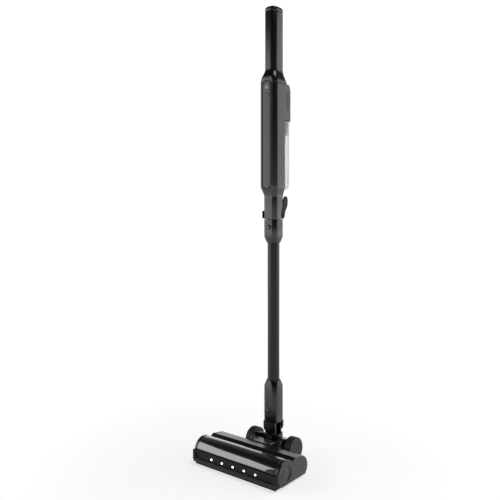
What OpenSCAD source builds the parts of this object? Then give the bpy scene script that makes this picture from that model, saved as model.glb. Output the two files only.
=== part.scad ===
// Cordless stick vacuum: powered floor nozzle, tilting and swivelling neck, tube,
// hand unit with clear dust cup, and a grip that holds the battery.
// Every piece is drawn about the stick's own axis (X = 0, Y = 0, floor at Z = 0, front
// towards -Y), and stand() then moves it so that the origin is under the middle of the whole.

/* [Floor nozzle] */
// Width over both side caps
nozzle_w = 250; // [200:1:320]
// Thickness of each side cap
cap_t = 9; // [6:0.5:12]
// Radius of the brush cover's front
lobe_r = 29; // [27.5:0.1:32]
// Outside radius of the bristles
brush_r = 25.5; // [22:0.1:26]
// Radius of the brush roll's core
core_r = 14; // [11:0.5:16]
// Wall of the nozzle's mouldings
nozzle_wall = 2.2; // [1.6:0.1:3]
// Distance from the stick's axis forward to the brush's axis
brush_reach = 125; // [115:1:150]
// Clear height under the sole
sole_gap = 3; // [2:0.5:6]
// Number of lights in the bumper
lamp_count = 5; // [3:1:7]
// Distance between lights
lamp_pitch = 32.7; // [20:0.1:38]

/* [Wheels and yoke] */
// Radius of the rear wheels
wheel_r = 29.5; // [27:0.5:32]
// Width of each rear wheel
wheel_w = 19; // [14:0.5:24]
// Distance over the wheels' outer faces
wheel_span = 136; // [128:1:160]
// Radius of the axle
axle_r = 4; // [3:0.1:5]
// Radius of the tilting barrel
barrel_r = 21; // [19:0.5:23]

/* [Stick] */
// Diameter of the tube
tube_d = 30; // [27:0.5:31]
// Wall of the tube
tube_wall = 1.2; // [0.8:0.1:2]
// Length of tube that shows
tube_len = 340; // [200:5:450]
// Width and depth of the couplings and the neck
coupling_w = 40; // [38:0.5:44]
// Height of the lower coupling
low_coupling_h = 103; // [95:1:130]
// Height of the upper coupling
up_coupling_h = 58; // [52:1:80]
// Depth that each spigot goes into its socket
spigot_len = 30; // [20:1:32]

/* [Hand unit] */
// Height of the neck below the body
neck_h = 56; // [54:1:70]
// Height of the flare between the neck and the body
flare_h = 25; // [20:1:35]
// Height of the body
body_h = 256; // [245:1:300]
// Width of the body
body_w = 52; // [50:0.5:56]
// From the stick's axis forward to the body's front
body_front = 27; // [26:0.5:32]
// From the stick's axis back to the side walls' rear edge
side_back = 12.6; // [10:0.1:15]
// From the stick's axis back to the motor housing's rear
motor_back = 48; // [46:0.5:54]
// Wall of the hand unit's mouldings
shell_wall = 2.4; // [1.8:0.1:3]
// Outside radius of the dust cup
cup_r = 26; // [24:0.5:26.5]
// Wall of the dust cup
cup_wall = 1.8; // [1.4:0.1:2.5]
// Height of the dust cup
cup_h = 173; // [150:1:180]
// Height of the filter in the top of the cup
filter_h = 33; // [25:1:50]
// Width of the front panel
panel_w = 30; // [27:0.5:34]

/* [Grip] */
// Height of the shoulder between the body and the grip
shoulder_h = 36; // [28:1:45]
// Height of the grip, without the battery's cap
grip_h = 143; // [120:1:160]
// Height of the battery's cap above the grip
cap_h = 13; // [10:0.5:18]
// Width of the grip
grip_w = 36; // [34:0.5:42]
// Depth of the grip
grip_d = 45; // [42:0.5:52]

/* [Hidden] */
$fn = 48;

// Clearances: around parts that move, around parts that turn on a pin, and for a clean cut
gap = 0.4;
run = 0.05;
eps = 0.01;
hull_fn = 32;

// Heights up the stick, each from the one below
coupling_z = 87;
tube_z = coupling_z + low_coupling_h;
up_z = tube_z + tube_len;
neck_z = up_z + up_coupling_h;
flare_z = neck_z + neck_h;
body_z = flare_z + flare_h;
body_top = body_z + body_h;
grip_z = body_top + shoulder_h;
cap_z = grip_z + grip_h;
top_z = cap_z + cap_h;

// Nozzle's side outline, in Y and Z
brush_y = -brush_reach;
brush_z = brush_r + 1.5;
lobe_z = lobe_r;
lobe_back_r = 39.5;
knee_y = brush_y + 39;
knee_z = 49;
knee_r = 4;
deck_y = brush_y + 62.5;
deck_z = 23;
deck_r = 26;
valley_y = brush_y + 26.5;
inner_w = nozzle_w - 2 * cap_t;
bumper_t = 7;
bumper_y = brush_y - lobe_r - bumper_t;
bumper_low = 4.5;
bumper_top = 35;
lamp_z = 22.5;
lamp_r = 1.9;

// Brush drive: belt on the left, motor behind the brush on the same side
shaft_r = 3;
drive_x = -inner_w / 2 + 5;
belt_w = 5;
belt_t = 1.2;
brush_pulley_r = 12;
sleeve_r = 8;
motor_pulley_r = 5;
motor_y = deck_y + 2;
motor_z = 24;
motor_r = 14.5;
motor_len = 58;
disc_r = 19.5;
disc_t = 2.6;
duct_w = 34;

// Yoke and neck
arm_in = 30.5;
arm_out = 46.8;
boss_r = 21;
pivot_z = wheel_r;
ear_z = 76;
ear_r = 15;
ear_in = 9.5;
ear_t = 3;
ear_out = ear_in + ear_t;
block_z = 57;
corner_r = 12;
hose_r = 8.6;
pin_r = 3;

// Buttons on the couplings
button_r = 6.5;
low_button_z = coupling_z + 29;
up_button_z = up_z + 39;
press = 1.5;

// Hand unit
body_corner = 12;
motor_corner = 16;
cup_y = 24;
cup_z = body_z - 8;
cup_top = cup_z + cup_h;
lever_y = 13;
lever_z = neck_z + 10;
lever_in = coupling_w / 2 - 3;
pocket_y = 5;
spigot_r = tube_d / 2 + 1;
duct_top = cup_z + 62;
duct_hole_z = cup_z + 40;
duct_hole_h = 18;
duct_hole_w = 18;
panel_z = body_z - 7;
panel_top = body_top + 6;
panel_t = 1.4;
trim_w = 2;
power_z = body_top - 11;
power_r = 5.6;
mode_z = body_top - 30;
slope_h = 25;
slope_in = 18;
fan_z = cup_top + 14;
fan_motor_r = 20;
fan_motor_h = 38;
fan_r = 17;
grip_y = 2;
arch_w = 18;
arch_h = 14;
grip_corner = 14;
grip_wall = 2.2;
inlet_r = 2.9;
inlet_len = 11;
inlet_z = body_top - 31;
socket_w = 9;
socket_len = 14;

// Back of the inlet duct, in front of the cup, and the filter frame's radius inside it
duct_back = cup_y - cup_r - 1.4;
filter_r = cup_r - 6;

// The whole reaches from the bumper's face to the cup's rear
depth_back = cup_y + cup_r;
stick_y = (-bumper_y - depth_back) / 2;

black = "#1b1c1e";
satin = "#26272a";
dark = "#111214";
grey = "#55585c";
steel = "#a9acb0";

// ---------- helpers ----------

// Puts a piece drawn about the stick's axis where the origin is under the whole's middle.
module stand() {
    translate([0, stick_y, 0]) children();
}

// Extrudes a (Y, Z) outline along X, centred on x.
module across(w, x = 0) {
    translate([x, 0, 0]) rotate([90, 0, 90]) linear_extrude(w, center = true) children();
}

// Extrudes an (X, Z) outline along Y, from y0 to y1.
module along_y(y0, y1) {
    translate([0, y1, 0]) rotate([90, 0, 0]) linear_extrude(y1 - y0) children();
}

// A rod along X between x0 and x1.
module rod_x(r, x0, x1, y = 0, z = 0) {
    translate([x0, y, z]) rotate([0, 90, 0]) cylinder(r = r, h = x1 - x0);
}

// A rod along Y between y0 and y1.
module rod_y(r, y0, y1, x = 0, z = 0) {
    translate([x, y1, z]) rotate([90, 0, 0]) cylinder(r = r, h = y1 - y0);
}

// A rectangle with rounded corners, centred.
module rounded(w, d, r) {
    offset(r = r) square([w - 2 * r, d - 2 * r], center = true);
}

// An upright prism on a rounded rectangle.
module post(w, d, r, z0, z1, y = 0) {
    translate([0, y, z0]) linear_extrude(z1 - z0) rounded(w, d, r);
}

// A thin slab of a rounded rectangle, used as the end of a taper.
module slab(w, d, r, z, y = 0) {
    translate([0, y, z]) linear_extrude(eps) rounded(w, d, r, $fn = hull_fn);
}

// ---------- floor nozzle ----------

// The nozzle's side outline: brush cover in front, lower deck behind, taken in by inset.
module nozzle_side(inset = 0) {
    difference() {
        union() {
            translate([brush_y, lobe_z]) circle(lobe_r - inset);
            intersection() {
                translate([brush_y, lobe_z + lobe_r - lobe_back_r]) circle(lobe_back_r - inset);
                translate([brush_y, deck_z]) square([knee_y - brush_y, 2 * lobe_r]);
            }
            hull() {
                translate([knee_y, knee_z]) circle(knee_r - inset);
                translate([deck_y, deck_z]) circle(deck_r - inset);
                translate([knee_y - knee_r + inset, deck_z]) square([1, 1]);
            }
            translate([brush_y, 0]) square([deck_y - brush_y, lobe_z]);
        }
        translate([brush_y - 2 * lobe_r, -lobe_r])
            square([6 * lobe_r, lobe_r + sole_gap + inset]);
    }
}

// The closed band between the outline and one wall inside it.
module nozzle_band() {
    difference() {
        nozzle_side();
        nozzle_side(nozzle_wall);
    }
}

// The brush chamber's back wall, an arc around the brush.
module chamber_wall() {
    intersection() {
        translate([brush_y, brush_z]) difference() {
            circle(brush_r + gap + 1 + nozzle_wall);
            circle(brush_r + gap + 1);
        }
        translate([brush_y + 8, sole_gap + nozzle_wall]) square([lobe_r, 33]);
    }
}

module base_housing() {
    color(black) stand() difference() {
        union() {
            // rear and bottom of the band, below the deck cover
            across(inner_w) intersection() {
                nozzle_band();
                translate([brush_y + 22, 0]) square([110, deck_z + 3]);
            }
            // front wall behind the bumper, up to the window
            across(inner_w) intersection() {
                nozzle_band();
                translate([brush_y - lobe_r - 1, 0]) square([18, bumper_top - 4]);
            }
            across(inner_w) chamber_wall();
            // bulkheads at both ends tie the front to the back and carry the brush's ends
            for (s = [-1, 1]) across(3, s * (inner_w / 2 - 12)) intersection() {
                nozzle_side(nozzle_wall / 2);
                translate([brush_y - lobe_r, 0]) square([110, deck_z + 3]);
            }
        }
        // mouth in the sole
        translate([-inner_w / 2 + 14, brush_y - 20, -1])
            cube([inner_w - 28, 38, sole_gap + nozzle_wall + 2]);
        // the brush draws out through the right bulkhead; its pulley's sleeve passes the left
        rod_x(brush_r + 1.2, inner_w / 2 - 14, inner_w / 2 - 10, brush_y, brush_z);
        rod_x(sleeve_r + gap, -inner_w / 2 + 10, -inner_w / 2 + 14, brush_y, brush_z);
        // the bristles' sweep, clear of the front wall's foot
        rod_x(brush_r + 0.8, -inner_w / 2 + 14, inner_w / 2 - 14, brush_y, brush_z);
        throat_cut();
        belt_cut();
        // motor's seat and shaft through the left bulkhead
        rod_x(motor_r + gap, -inner_w / 2 + 2, -inner_w / 2 + 20, motor_y, motor_z);
    }
}

// Way through the mouldings for the air duct.
module throat_cut() {
    translate([-duct_w / 2, brush_y + 10, 9]) cube([duct_w, 60 + lobe_r, 24]);
}

// Room for the belt through the mouldings' inner walls.
module belt_cut() {
    across(belt_w + 2, drive_x) belt_loop(belt_t + 1.5);
}

module deck_cover() {
    color(satin) stand() difference() {
        across(inner_w) intersection() {
            nozzle_band();
            translate([valley_y + 0.6, deck_z + 3.2]) square([110, 60]);
        }
        throat_cut();
        belt_cut();
    }
}

module brush_window() {
    color("#30343a") stand() across(inner_w) intersection() {
        nozzle_band();
        translate([brush_y - lobe_r - 1, bumper_top - 3.8])
            square([valley_y - brush_y + lobe_r + 1, 60]);
    }
}

// Bumper outline: upright face with the lamp channel cut in and a lip sloping to the skirt.
module bumper_side() {
    difference() {
        polygon([
            [bumper_y + bumper_t + 6, bumper_low], [bumper_y + 5, bumper_low],
            [bumper_y, bumper_low + 8], [bumper_y, bumper_top - 2.5],
            [bumper_y + 2.5, bumper_top], [bumper_y + bumper_t + 6, bumper_top]
        ]);
        translate([brush_y, lobe_z]) circle(lobe_r + 0.2);
        translate([bumper_y - 1, lamp_z - 5.5]) square([3.2, 11]);
    }
}

module front_bumper() {
    color(dark) stand() difference() {
        across(nozzle_w - 3) bumper_side();
        for (i = [0:lamp_count - 1])
            rod_y(lamp_r + 0.1, bumper_y, bumper_y + bumper_t + 4,
                (i - (lamp_count - 1) / 2) * lamp_pitch, lamp_z);
        // pocket for the lamp board behind the face
        translate([-lamp_count * lamp_pitch / 2, bumper_y + 4.6, lamp_z - 5])
            cube([lamp_count * lamp_pitch, 20, 10]);
    }
}

module lamp_board() {
    color("#1d4d33") stand()
        translate([-lamp_count * lamp_pitch / 2 + 1, bumper_y + 4.8, lamp_z - 4.6])
            cube([lamp_count * lamp_pitch - 2, 1.2, 9.2]);
}

module lamp_lenses() {
    color("white") stand() for (i = [0:lamp_count - 1])
        rod_y(lamp_r, bumper_y + 1.4, bumper_y + 4.8,
            (i - (lamp_count - 1) / 2) * lamp_pitch, lamp_z);
}

// Side cap on side s: the outline with a rounded edge, hollow on its inner face.
module side_cap(s) {
    face = s * nozzle_w / 2;
    edge = 2;
    difference() {
        union() {
            across(cap_t - edge, face - s * (cap_t + edge) / 2) nozzle_side();
            across(edge, face - s * edge / 2) nozzle_side(1);
        }
        across(cap_t - edge, face - s * (cap_t + edge) / 2 - s * eps) nozzle_side(nozzle_wall);
        translate([0, brush_y, brush_z]) children();
    }
}

module side_cap_left() {
    color(satin) stand() difference() {
        side_cap(-1);
        // dummy disc's ring groove, to match the other side
        translate([-nozzle_w / 2 + 0.8, brush_y, brush_z]) rotate([0, -90, 0]) difference() {
            cylinder(r = disc_r, h = 2);
            translate([0, 0, -1]) cylinder(r = disc_r - 1, h = 4);
        }
    }
}

module side_cap_right() {
    color(satin) stand() side_cap(1)
        translate([nozzle_w / 2 - cap_t - 1, 0, 0]) rotate([0, 90, 0])
            cylinder(r = disc_r + gap, h = cap_t + 2);
}

// Removable disc that carries the brush's right end; a quarter turn frees it.
module brush_end_cap() {
    x1 = nozzle_w / 2 - 0.6;
    color(satin) stand() difference() {
        union() {
            rod_x(disc_r, x1 - disc_t, x1, brush_y, brush_z);
            rod_x(8, x1 - cap_t - 3, x1 - disc_t + eps, brush_y, brush_z);
        }
        rod_x(shaft_r + run, x1 - cap_t - 4, x1 - cap_t + 5, brush_y, brush_z);
        // coin slot
        translate([x1 - 0.8, brush_y - 6, brush_z - 1]) cube([2, 12, 2]);
    }
}

module sole_plate() {
    color(dark) stand() difference() {
        translate([-inner_w / 2 + 6, brush_y - 22, sole_gap - 1.2])
            cube([inner_w - 12, 84, 1.2]);
        translate([-inner_w / 2 + 16, brush_y - 17, 0]) cube([inner_w - 32, 32, 10]);
        for (x = [-1, 1], y = [brush_y + 25, deck_y - 6])
            translate([x * (inner_w / 2 - 24), y, 0]) cylinder(r = 2, h = 10);
    }
}

// Soft strip under the bumper; its foot rests on the floor.
module front_skirt() {
    color("#18191b") stand() translate([-nozzle_w / 2 + 6, bumper_y + 6, 0])
        cube([nozzle_w - 12, 4, bumper_low]);
}

module sole_screws() {
    color(steel) stand() for (x = [-1, 1], y = [brush_y + 25, deck_y - 6])
        translate([x * (inner_w / 2 - 24), y, sole_gap - 1.4]) cylinder(r = 2, h = 1.4);
}

module brush_motor() {
    x0 = -inner_w / 2 + 16;
    color(steel) stand() difference() {
        rod_x(motor_r, x0, x0 + motor_len, motor_y, motor_z);
        rod_x(1.5 + run, x0 - 1, x0 + 30, motor_y, motor_z);
    }
}

// Square pipe from the brush chamber's throat back to the barrel.
module air_duct() {
    back = -barrel_r - 4;
    front = brush_y + 34;
    color(black) stand() difference() {
        translate([-duct_w / 2 + gap, front, 9 + gap]) cube([duct_w - 2 * gap, back - front, 24 - 2 * gap]);
        translate([-duct_w / 2 + 2.2, front - 1, 11.2]) cube([duct_w - 4.4, back - front + 2, 19.6]);
    }
}

// Yoke: two arms from the deck back to the axle, joined by a scooped bridge in front.
module yoke_side() {
    hull() {
        translate([0, pivot_z]) circle(boss_r);
        translate([deck_y + 31, deck_z + 19]) circle(2);
        translate([-barrel_r - 2, pivot_z + 26]) circle(2);
    }
}

module yoke() {
    color(satin) stand() difference() {
        union() {
            for (s = [-1, 1]) across(arm_out - arm_in, s * (arm_out + arm_in) / 2) yoke_side();
            // bridge from arm to arm, over the deck's rear edge
            across(2 * arm_out) difference() {
                polygon([
                    [deck_y + 7, deck_z + deck_r - 1.5], [deck_y + 8, deck_z + deck_r + 1.6],
                    [-barrel_r - 2, pivot_z + 17], [-barrel_r - 2, pivot_z + 12],
                    [deck_y + 30, deck_z + 19]
                ]);
                translate([deck_y, deck_z]) circle(deck_r + 0.1);
            }
        }
        rod_x(barrel_r + gap + 0.4, -arm_in, arm_in, 0, pivot_z);
        rod_x(axle_r, -arm_out - 1, arm_out + 1, 0, pivot_z);
        translate([-arm_in, -boss_r - 8, 8]) cube([2 * arm_in, 40, 30]);
    }
}

module axle() {
    color(steel) stand() rod_x(axle_r, -wheel_span / 2 + 6, wheel_span / 2 - 6, 0, pivot_z);
}

// ---------- brush and its drive ----------

module brush_core() {
    x_left = drive_x - belt_w / 2 - 1;
    x_right = nozzle_w / 2 - cap_t + 3.5;
    color(grey) stand() union() {
        rod_x(shaft_r, x_left, x_right, brush_y, brush_z);
        rod_x(core_r, -inner_w / 2 + 15, inner_w / 2 - 6, brush_y, brush_z);
    }
}

// Four rows of tufts that wind in towards the middle from both ends.
module brush_bristles() {
    half = inner_w / 2 - 17;
    rows = 4;
    color("#2d2f33") stand() translate([0, brush_y, brush_z]) for (s = [0, 1])
        mirror([s, 0, 0]) rotate([0, 90, 0])
            linear_extrude(half, twist = 100, slices = 12, $fn = 12) for (i = [0:rows - 1])
                rotate(i * 360 / rows) translate([core_r + 0.02, -1.6])
                    square([brush_r - core_r, 3.2]);
}

module brush_pulley() {
    color(dark) stand() difference() {
        union() {
            rod_x(brush_pulley_r, drive_x - belt_w / 2, drive_x + belt_w / 2, brush_y, brush_z);
            rod_x(sleeve_r, drive_x + belt_w / 2 - eps, -inner_w / 2 + 15, brush_y, brush_z);
        }
        rod_x(shaft_r, drive_x - 10, -inner_w / 2 + 16, brush_y, brush_z);
    }
}

module motor_pulley() {
    color(steel) stand() union() {
        rod_x(motor_pulley_r, drive_x - belt_w / 2, drive_x + belt_w / 2, motor_y, motor_z);
        rod_x(1.5, drive_x, -inner_w / 2 + 40, motor_y, motor_z);
    }
}

// Loop of belt over both pulleys, grown by r outside their faces.
module belt_loop(r) {
    hull() {
        translate([brush_y, brush_z]) circle(brush_pulley_r + r);
        translate([motor_y, motor_z]) circle(motor_pulley_r + r);
    }
}

module drive_belt() {
    color("#0c0c0d") stand() across(belt_w - 0.6, drive_x) difference() {
        belt_loop(run + belt_t);
        belt_loop(run);
    }
}

// ---------- wheels ----------

module wheel(s) {
    outer = s * wheel_span / 2;
    color(satin) stand() difference() {
        across(wheel_w - 1, outer - s * (wheel_w + 1) / 2 + s * 0.5)
            translate([0, pivot_z]) circle(wheel_r - 4.5);
        // open inner side around the hub
        across(wheel_w - 4, outer - s * (wheel_w / 2 + 2.5)) translate([0, pivot_z])
            difference() {
                circle(wheel_r - 7);
                circle(axle_r + 4);
            }
        rod_x(axle_r + run, outer > 0 ? outer - wheel_w - 2 : outer + 5.5,
            outer > 0 ? outer - 5.5 : outer + wheel_w + 2, 0, pivot_z);
    }
}

module tyre(s) {
    color("#141415") stand() across(wheel_w, s * (wheel_span - wheel_w) / 2)
        translate([0, pivot_z]) difference() {
            circle(wheel_r);
            circle(wheel_r - 4.5);
        }
}

module wheel_left() {
    wheel(-1);
}

module wheel_right() {
    wheel(1);
}

module tyre_left() {
    tyre(-1);
}

module tyre_right() {
    tyre(1);
}

// ---------- neck ----------

// Barrel that turns on the axle, with a block on top and four ears for the sideways pins.
module neck_barrel() {
    color(black) stand() difference() {
        union() {
            rod_x(barrel_r, -arm_in + gap, arm_in - gap, 0, pivot_z);
            post(coupling_w, coupling_w, corner_r, pivot_z + 12, block_z);
            for (s = [-1, 1]) along_y(s > 0 ? ear_in : -ear_out, s > 0 ? ear_out : -ear_in) union() {
                translate([0, ear_z]) circle(ear_r);
                translate([-ear_r, block_z - 2]) square([2 * ear_r, ear_z - block_z + 2]);
            }
        }
        rod_x(barrel_r - 2.6, -arm_in + 3.4, arm_in - 3.4, 0, pivot_z);
        rod_x(axle_r + run, -arm_in - 1, arm_in + 1, 0, pivot_z);
        translate([0, 0, pivot_z]) cylinder(r = hose_r + 0.5, h = 40);
        // mouth towards the air duct
        translate([-duct_w / 2, -barrel_r - 22, pivot_z - 14]) cube([duct_w, 24, 20]);
        for (s = [-1, 1]) rod_y(pin_r, s > 0 ? ear_in - 1 : -ear_out - 1,
            s > 0 ? ear_out + 1 : -ear_in + 1, 0, ear_z);
    }
}

module neck_pins() {
    end = coupling_w / 2 - 1;
    color(steel) stand() for (s = [-1, 1])
        rod_y(pin_r, s > 0 ? ear_in : -end, s > 0 ? end : -ear_in, 0, ear_z);
}

// Ribbed hose that carries the air through the knuckle.
module neck_hose() {
    ribs = 7;
    z0 = block_z - 6;
    z1 = coupling_z + 14;
    color("#202124") stand() difference() {
        union() {
            translate([0, 0, z0]) cylinder(r = hose_r - 1.2, h = z1 - z0);
            for (i = [0:ribs - 1]) translate([0, 0, z0 + (i + 0.25) * (z1 - z0) / ribs])
                cylinder(r = hose_r, h = (z1 - z0) / ribs / 2);
        }
        translate([0, 0, z0 - 1]) cylinder(r = hose_r - 2.2, h = z1 - z0 + 2);
    }
}

// Lower coupling: swivels sideways on the neck's pins and takes the tube's end.
module swivel_socket() {
    half = coupling_w / 2;
    cheek = half - ear_out - gap;
    cone = 13;
    color(black) stand() difference() {
        union() {
            post(coupling_w, coupling_w, corner_r, coupling_z, tube_z - cone);
            hull() {
                slab(coupling_w, coupling_w, corner_r, tube_z - cone - eps);
                slab(tube_d + 4, tube_d + 4, tube_d / 2, tube_z - eps);
            }
            for (s = [-1, 1]) along_y(s > 0 ? half - cheek : -half, s > 0 ? half : cheek - half)
                union() {
                    translate([0, ear_z]) circle(half - 2.5);
                    translate([2.5 - half, ear_z]) square([2 * half - 5, coupling_z - ear_z + 4]);
                }
        }
        // socket for the tube and the way through below it
        translate([0, 0, tube_z - spigot_len]) cylinder(r = tube_d / 2 + 0.05, h = spigot_len + 1);
        translate([0, 0, coupling_z + 4]) cylinder(r = tube_d / 2 - 3, h = low_coupling_h);
        translate([0, 0, coupling_z - 1]) cylinder(r = hose_r + 1, h = 6);
        // room for the ears to swing
        rod_y(ear_r + 2, -ear_out - gap, ear_out + gap, 0, ear_z);
        for (s = [-1, 1]) rod_y(pin_r + run, s > 0 ? ear_out : -half - 1,
            s > 0 ? half + 1 : -ear_out, 0, ear_z);
        // corners cut back so the socket can lean
        for (s = [-1, 1]) translate([s * half, 0, coupling_z]) rotate([0, 45, 0])
            cube([5, coupling_w + 2, 5], center = true);
        button_hole(low_button_z);
    }
}

// Hole for a coupling's release button, through the front wall.
module button_hole(z) {
    rod_y(button_r + gap, -coupling_w / 2 - 1, -tube_d / 2 + 3.5, 0, z);
}

// Release button with a flange-free round head and a latch tongue behind it.
module release_button(z) {
    front = -coupling_w / 2;
    color(satin) stand() difference() {
        union() {
            rod_y(button_r, front - 1.8, front + 4, 0, z);
            rod_y(button_r - 1.5, front - 2.6, front, 0, z);
        }
        rod_y(2.6, front + 1.5, front + 5, 0, z);
    }
}

// Coil spring behind a release button.
module release_spring(z) {
    front = -coupling_w / 2;
    turns = 3;
    color(steel) stand() for (i = [0:turns - 1])
        translate([0, front + 2 + i * 1.35, z]) rotate([90, 0, 0])
            rotate_extrude() translate([2, 0]) circle(0.4, $fn = 16);
}

module low_button() {
    release_button(low_button_z);
}

module low_spring() {
    release_spring(low_button_z);
}

module up_button() {
    release_button(up_button_z);
}

module up_spring() {
    release_spring(up_button_z);
}

// ---------- tube ----------

module tube() {
    color("#202124") stand() difference() {
        translate([0, 0, tube_z - spigot_len]) cylinder(r = tube_d / 2, h = tube_len + 2 * spigot_len);
        translate([0, 0, tube_z - spigot_len - 1])
            cylinder(r = tube_d / 2 - tube_wall, h = tube_len + 2 * spigot_len + 2);
    }
}

// Upper coupling: fixed on the tube, with the spigot that goes into the hand unit.
module up_coupling() {
    cone = 15;
    color(black) stand() difference() {
        union() {
            hull() {
                slab(tube_d + 4, tube_d + 4, tube_d / 2, up_z);
                slab(coupling_w, coupling_w, corner_r, up_z + cone);
            }
            post(coupling_w, coupling_w, corner_r, up_z + cone, neck_z - 0.4);
            translate([0, 0, neck_z - 1]) cylinder(r = spigot_r, h = spigot_len + 1);
        }
        translate([0, 0, up_z - 1]) cylinder(r = tube_d / 2, h = spigot_len + 1);
        translate([0, 0, up_z]) cylinder(r = tube_d / 2 - 2, h = up_coupling_h + spigot_len + 1);
        button_hole(up_button_z);
    }
}

// ---------- hand unit ----------

// The body's outline seen from above, taken in by inset and cut off behind the side walls.
module body_outline(inset = 0, back = 0) {
    depth = body_front + motor_back;
    intersection() {
        translate([0, (motor_back - body_front) / 2])
            rounded(body_w - 2 * inset, depth - 2 * inset, body_corner - inset);
        translate([-body_w, -body_front - 1]) square([2 * body_w, body_front + 1 + back]);
    }
}

// Solid of the neck, flare and body, all taken in by inset.
module body_solid(inset) {
    translate([0, 0, neck_z]) linear_extrude(neck_h)
        rounded(coupling_w - 2 * inset, coupling_w - 2 * inset, corner_r - inset);
    hull() {
        slab(coupling_w - 2 * inset, coupling_w - 2 * inset, corner_r - inset, flare_z - eps);
        translate([0, 0, body_z]) linear_extrude(eps) body_outline(inset, side_back, $fn = hull_fn);
    }
    translate([0, 0, body_z]) linear_extrude(body_h) body_outline(inset, side_back);
}

module main_shell() {
    socket_floor = neck_z + spigot_len + 4;
    color(black) stand() difference() {
        union() {
            difference() {
                body_solid(0);
                // inside of the body above the neck
                translate([0, 0, flare_z + 4]) linear_extrude(body_h + flare_h)
                    body_outline(shell_wall + 5, side_back + 1);
                translate([0, 0, body_z + 1]) linear_extrude(body_h - 1 - shell_wall)
                    body_outline(shell_wall, side_back + 1);
            }
        }
        // socket for the spigot and the way up into the inlet duct
        translate([0, 0, neck_z - 1]) cylinder(r = spigot_r + 0.05, h = spigot_len + 1.4);
        translate([0, 0, neck_z]) cylinder(r = 12, h = neck_h - 4);
        translate([-13, -body_front + 6, flare_z - 12]) cube([26, duct_back + body_front - 4.6, flare_h + 30]);
        // side pockets and rear recess for the cup's lever
        for (s = [-1, 1]) translate([s * coupling_w / 2 - (s > 0 ? 3.4 : 6), pocket_y, neck_z + 1])
            cube([9.4, 50, cup_z - neck_z]);
        translate([-body_w, side_back - 2, neck_z + 26]) cube([2 * body_w, 50, cup_z - neck_z - 26 + 1]);
        for (s = [-1, 1]) rod_x(2, s > 0 ? 14 : -19, s > 0 ? 19 : -14, lever_y, lever_z);
        // the cup's bay
        translate([0, cup_y, cup_z - gap]) cylinder(r = cup_r + gap, h = cup_h + 2 * gap);
        // buttons through the front and the left side
        rod_y(power_r + gap, -body_front - 1, -body_front + 8, 0, power_z);
        translate([-8 - gap, -body_front - 1, mode_z - 3.5 - gap]) cube([16 + 2 * gap, 9, 7 + 2 * gap]);
        translate([-coupling_w / 2 - 1, -16 - gap, neck_z + 3 - gap]) cube([4.6, 10 + 2 * gap, 19 + 2 * gap]);
    }
}

// Solid of the motor housing: upright, its back leaning in towards the shoulder at the top.
module motor_solid(z0, inset) {
    lean = [[motor_back - inset, body_top - slope_h], [motor_back - slope_in - inset, body_top],
        [motor_back - slope_in - inset, body_top + 2], [motor_back + 2, body_top + 2],
        [motor_back + 2, body_top - slope_h]];
    difference() {
        translate([0, 0, z0]) linear_extrude(body_top - z0) motor_outline(inset, motor_back);
        rotate([90, 0, 90]) linear_extrude(2 * body_w, center = true) polygon(lean);
    }
}

// Motor housing behind the body's top, with rows of round vents on both flanks.
module rear_shell() {
    z0 = cup_top + 2 * gap + 0.2;
    hole = 1.5;
    color(black) stand() difference() {
        motor_solid(z0, 0);
        motor_solid(z0 + shell_wall, shell_wall);
        // open top, under the shoulder
        translate([0, 0, body_top - 1]) linear_extrude(2)
            motor_outline(shell_wall, motor_back - slope_in);
        // air up from the filter
        translate([0, cup_y, z0 - 1]) cylinder(r = 11, h = shell_wall + 2);
        for (s = [-1, 1], row = [0:6], col = [0:2]) {
            y = side_back + 6 + col * 5 + (row % 2) * 2.5;
            rod_x(hole, s > 0 ? body_w / 2 - 10 : -body_w / 2 - 1,
                s > 0 ? body_w / 2 + 1 : 10 - body_w / 2, y, body_top - 61 + row * 6.2);
        }
        socket_cut();
    }
}

// The motor housing's outline from the side walls back to back, taken in by inset.
module motor_outline(inset, back) {
    intersection() {
        translate([0, (back - body_front) / 2])
            rounded(body_w - 2 * inset, body_front + back - 2 * inset, motor_corner - inset);
        translate([-body_w, side_back + 0.02]) square([2 * body_w, motor_back]);
    }
}

// Pocket for the charging socket in the motor housing's rear.
module socket_cut() {
    translate([-socket_w / 2, motor_back - socket_len, inlet_z - socket_w / 2])
        cube([socket_w, socket_len + 1, socket_w]);
}

// Long panel with round ends on the front, taken in by inset.
module panel_shape(inset = 0) {
    r = panel_w / 2;
    hull() for (z = [panel_z + r, panel_top - r]) translate([0, z]) circle(r - inset);
}

module panel_cutouts() {
    rod_y(power_r + gap, -body_front - 4, -body_front + 1, 0, power_z);
    translate([-8 - gap, -body_front - 4, mode_z - 3.5 - gap]) cube([16 + 2 * gap, 5, 7 + 2 * gap]);
}

module front_panel() {
    color("#1f2022") stand() difference() {
        along_y(-body_front - panel_t, -body_front) panel_shape(trim_w);
        panel_cutouts();
    }
}

module panel_trim() {
    color(grey) stand() along_y(-body_front - panel_t - 0.3, -body_front) difference() {
        panel_shape();
        panel_shape(trim_w);
    }
}

module circuit_board() {
    color("#1d4d33") stand() translate([-16, -body_front + 7.4, body_z + 90])
        cube([32, 1.6, body_h - 96]);
}

// Pipe from the neck up behind the panel, opening back into the cup.
module inlet_duct() {
    z0 = flare_z - 10;
    y0 = -body_front + 9.6;
    depth = duct_back - y0;
    color(dark) stand() difference() {
        translate([-12, y0, z0]) cube([24, depth, duct_top - z0]);
        translate([-10, y0 + 2, z0 - 1]) cube([20, depth - 4, duct_top - z0 - 1]);
        translate([-duct_hole_w / 2, y0 + 4, duct_hole_z]) cube([duct_hole_w, 30, duct_hole_h]);
    }
}

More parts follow.
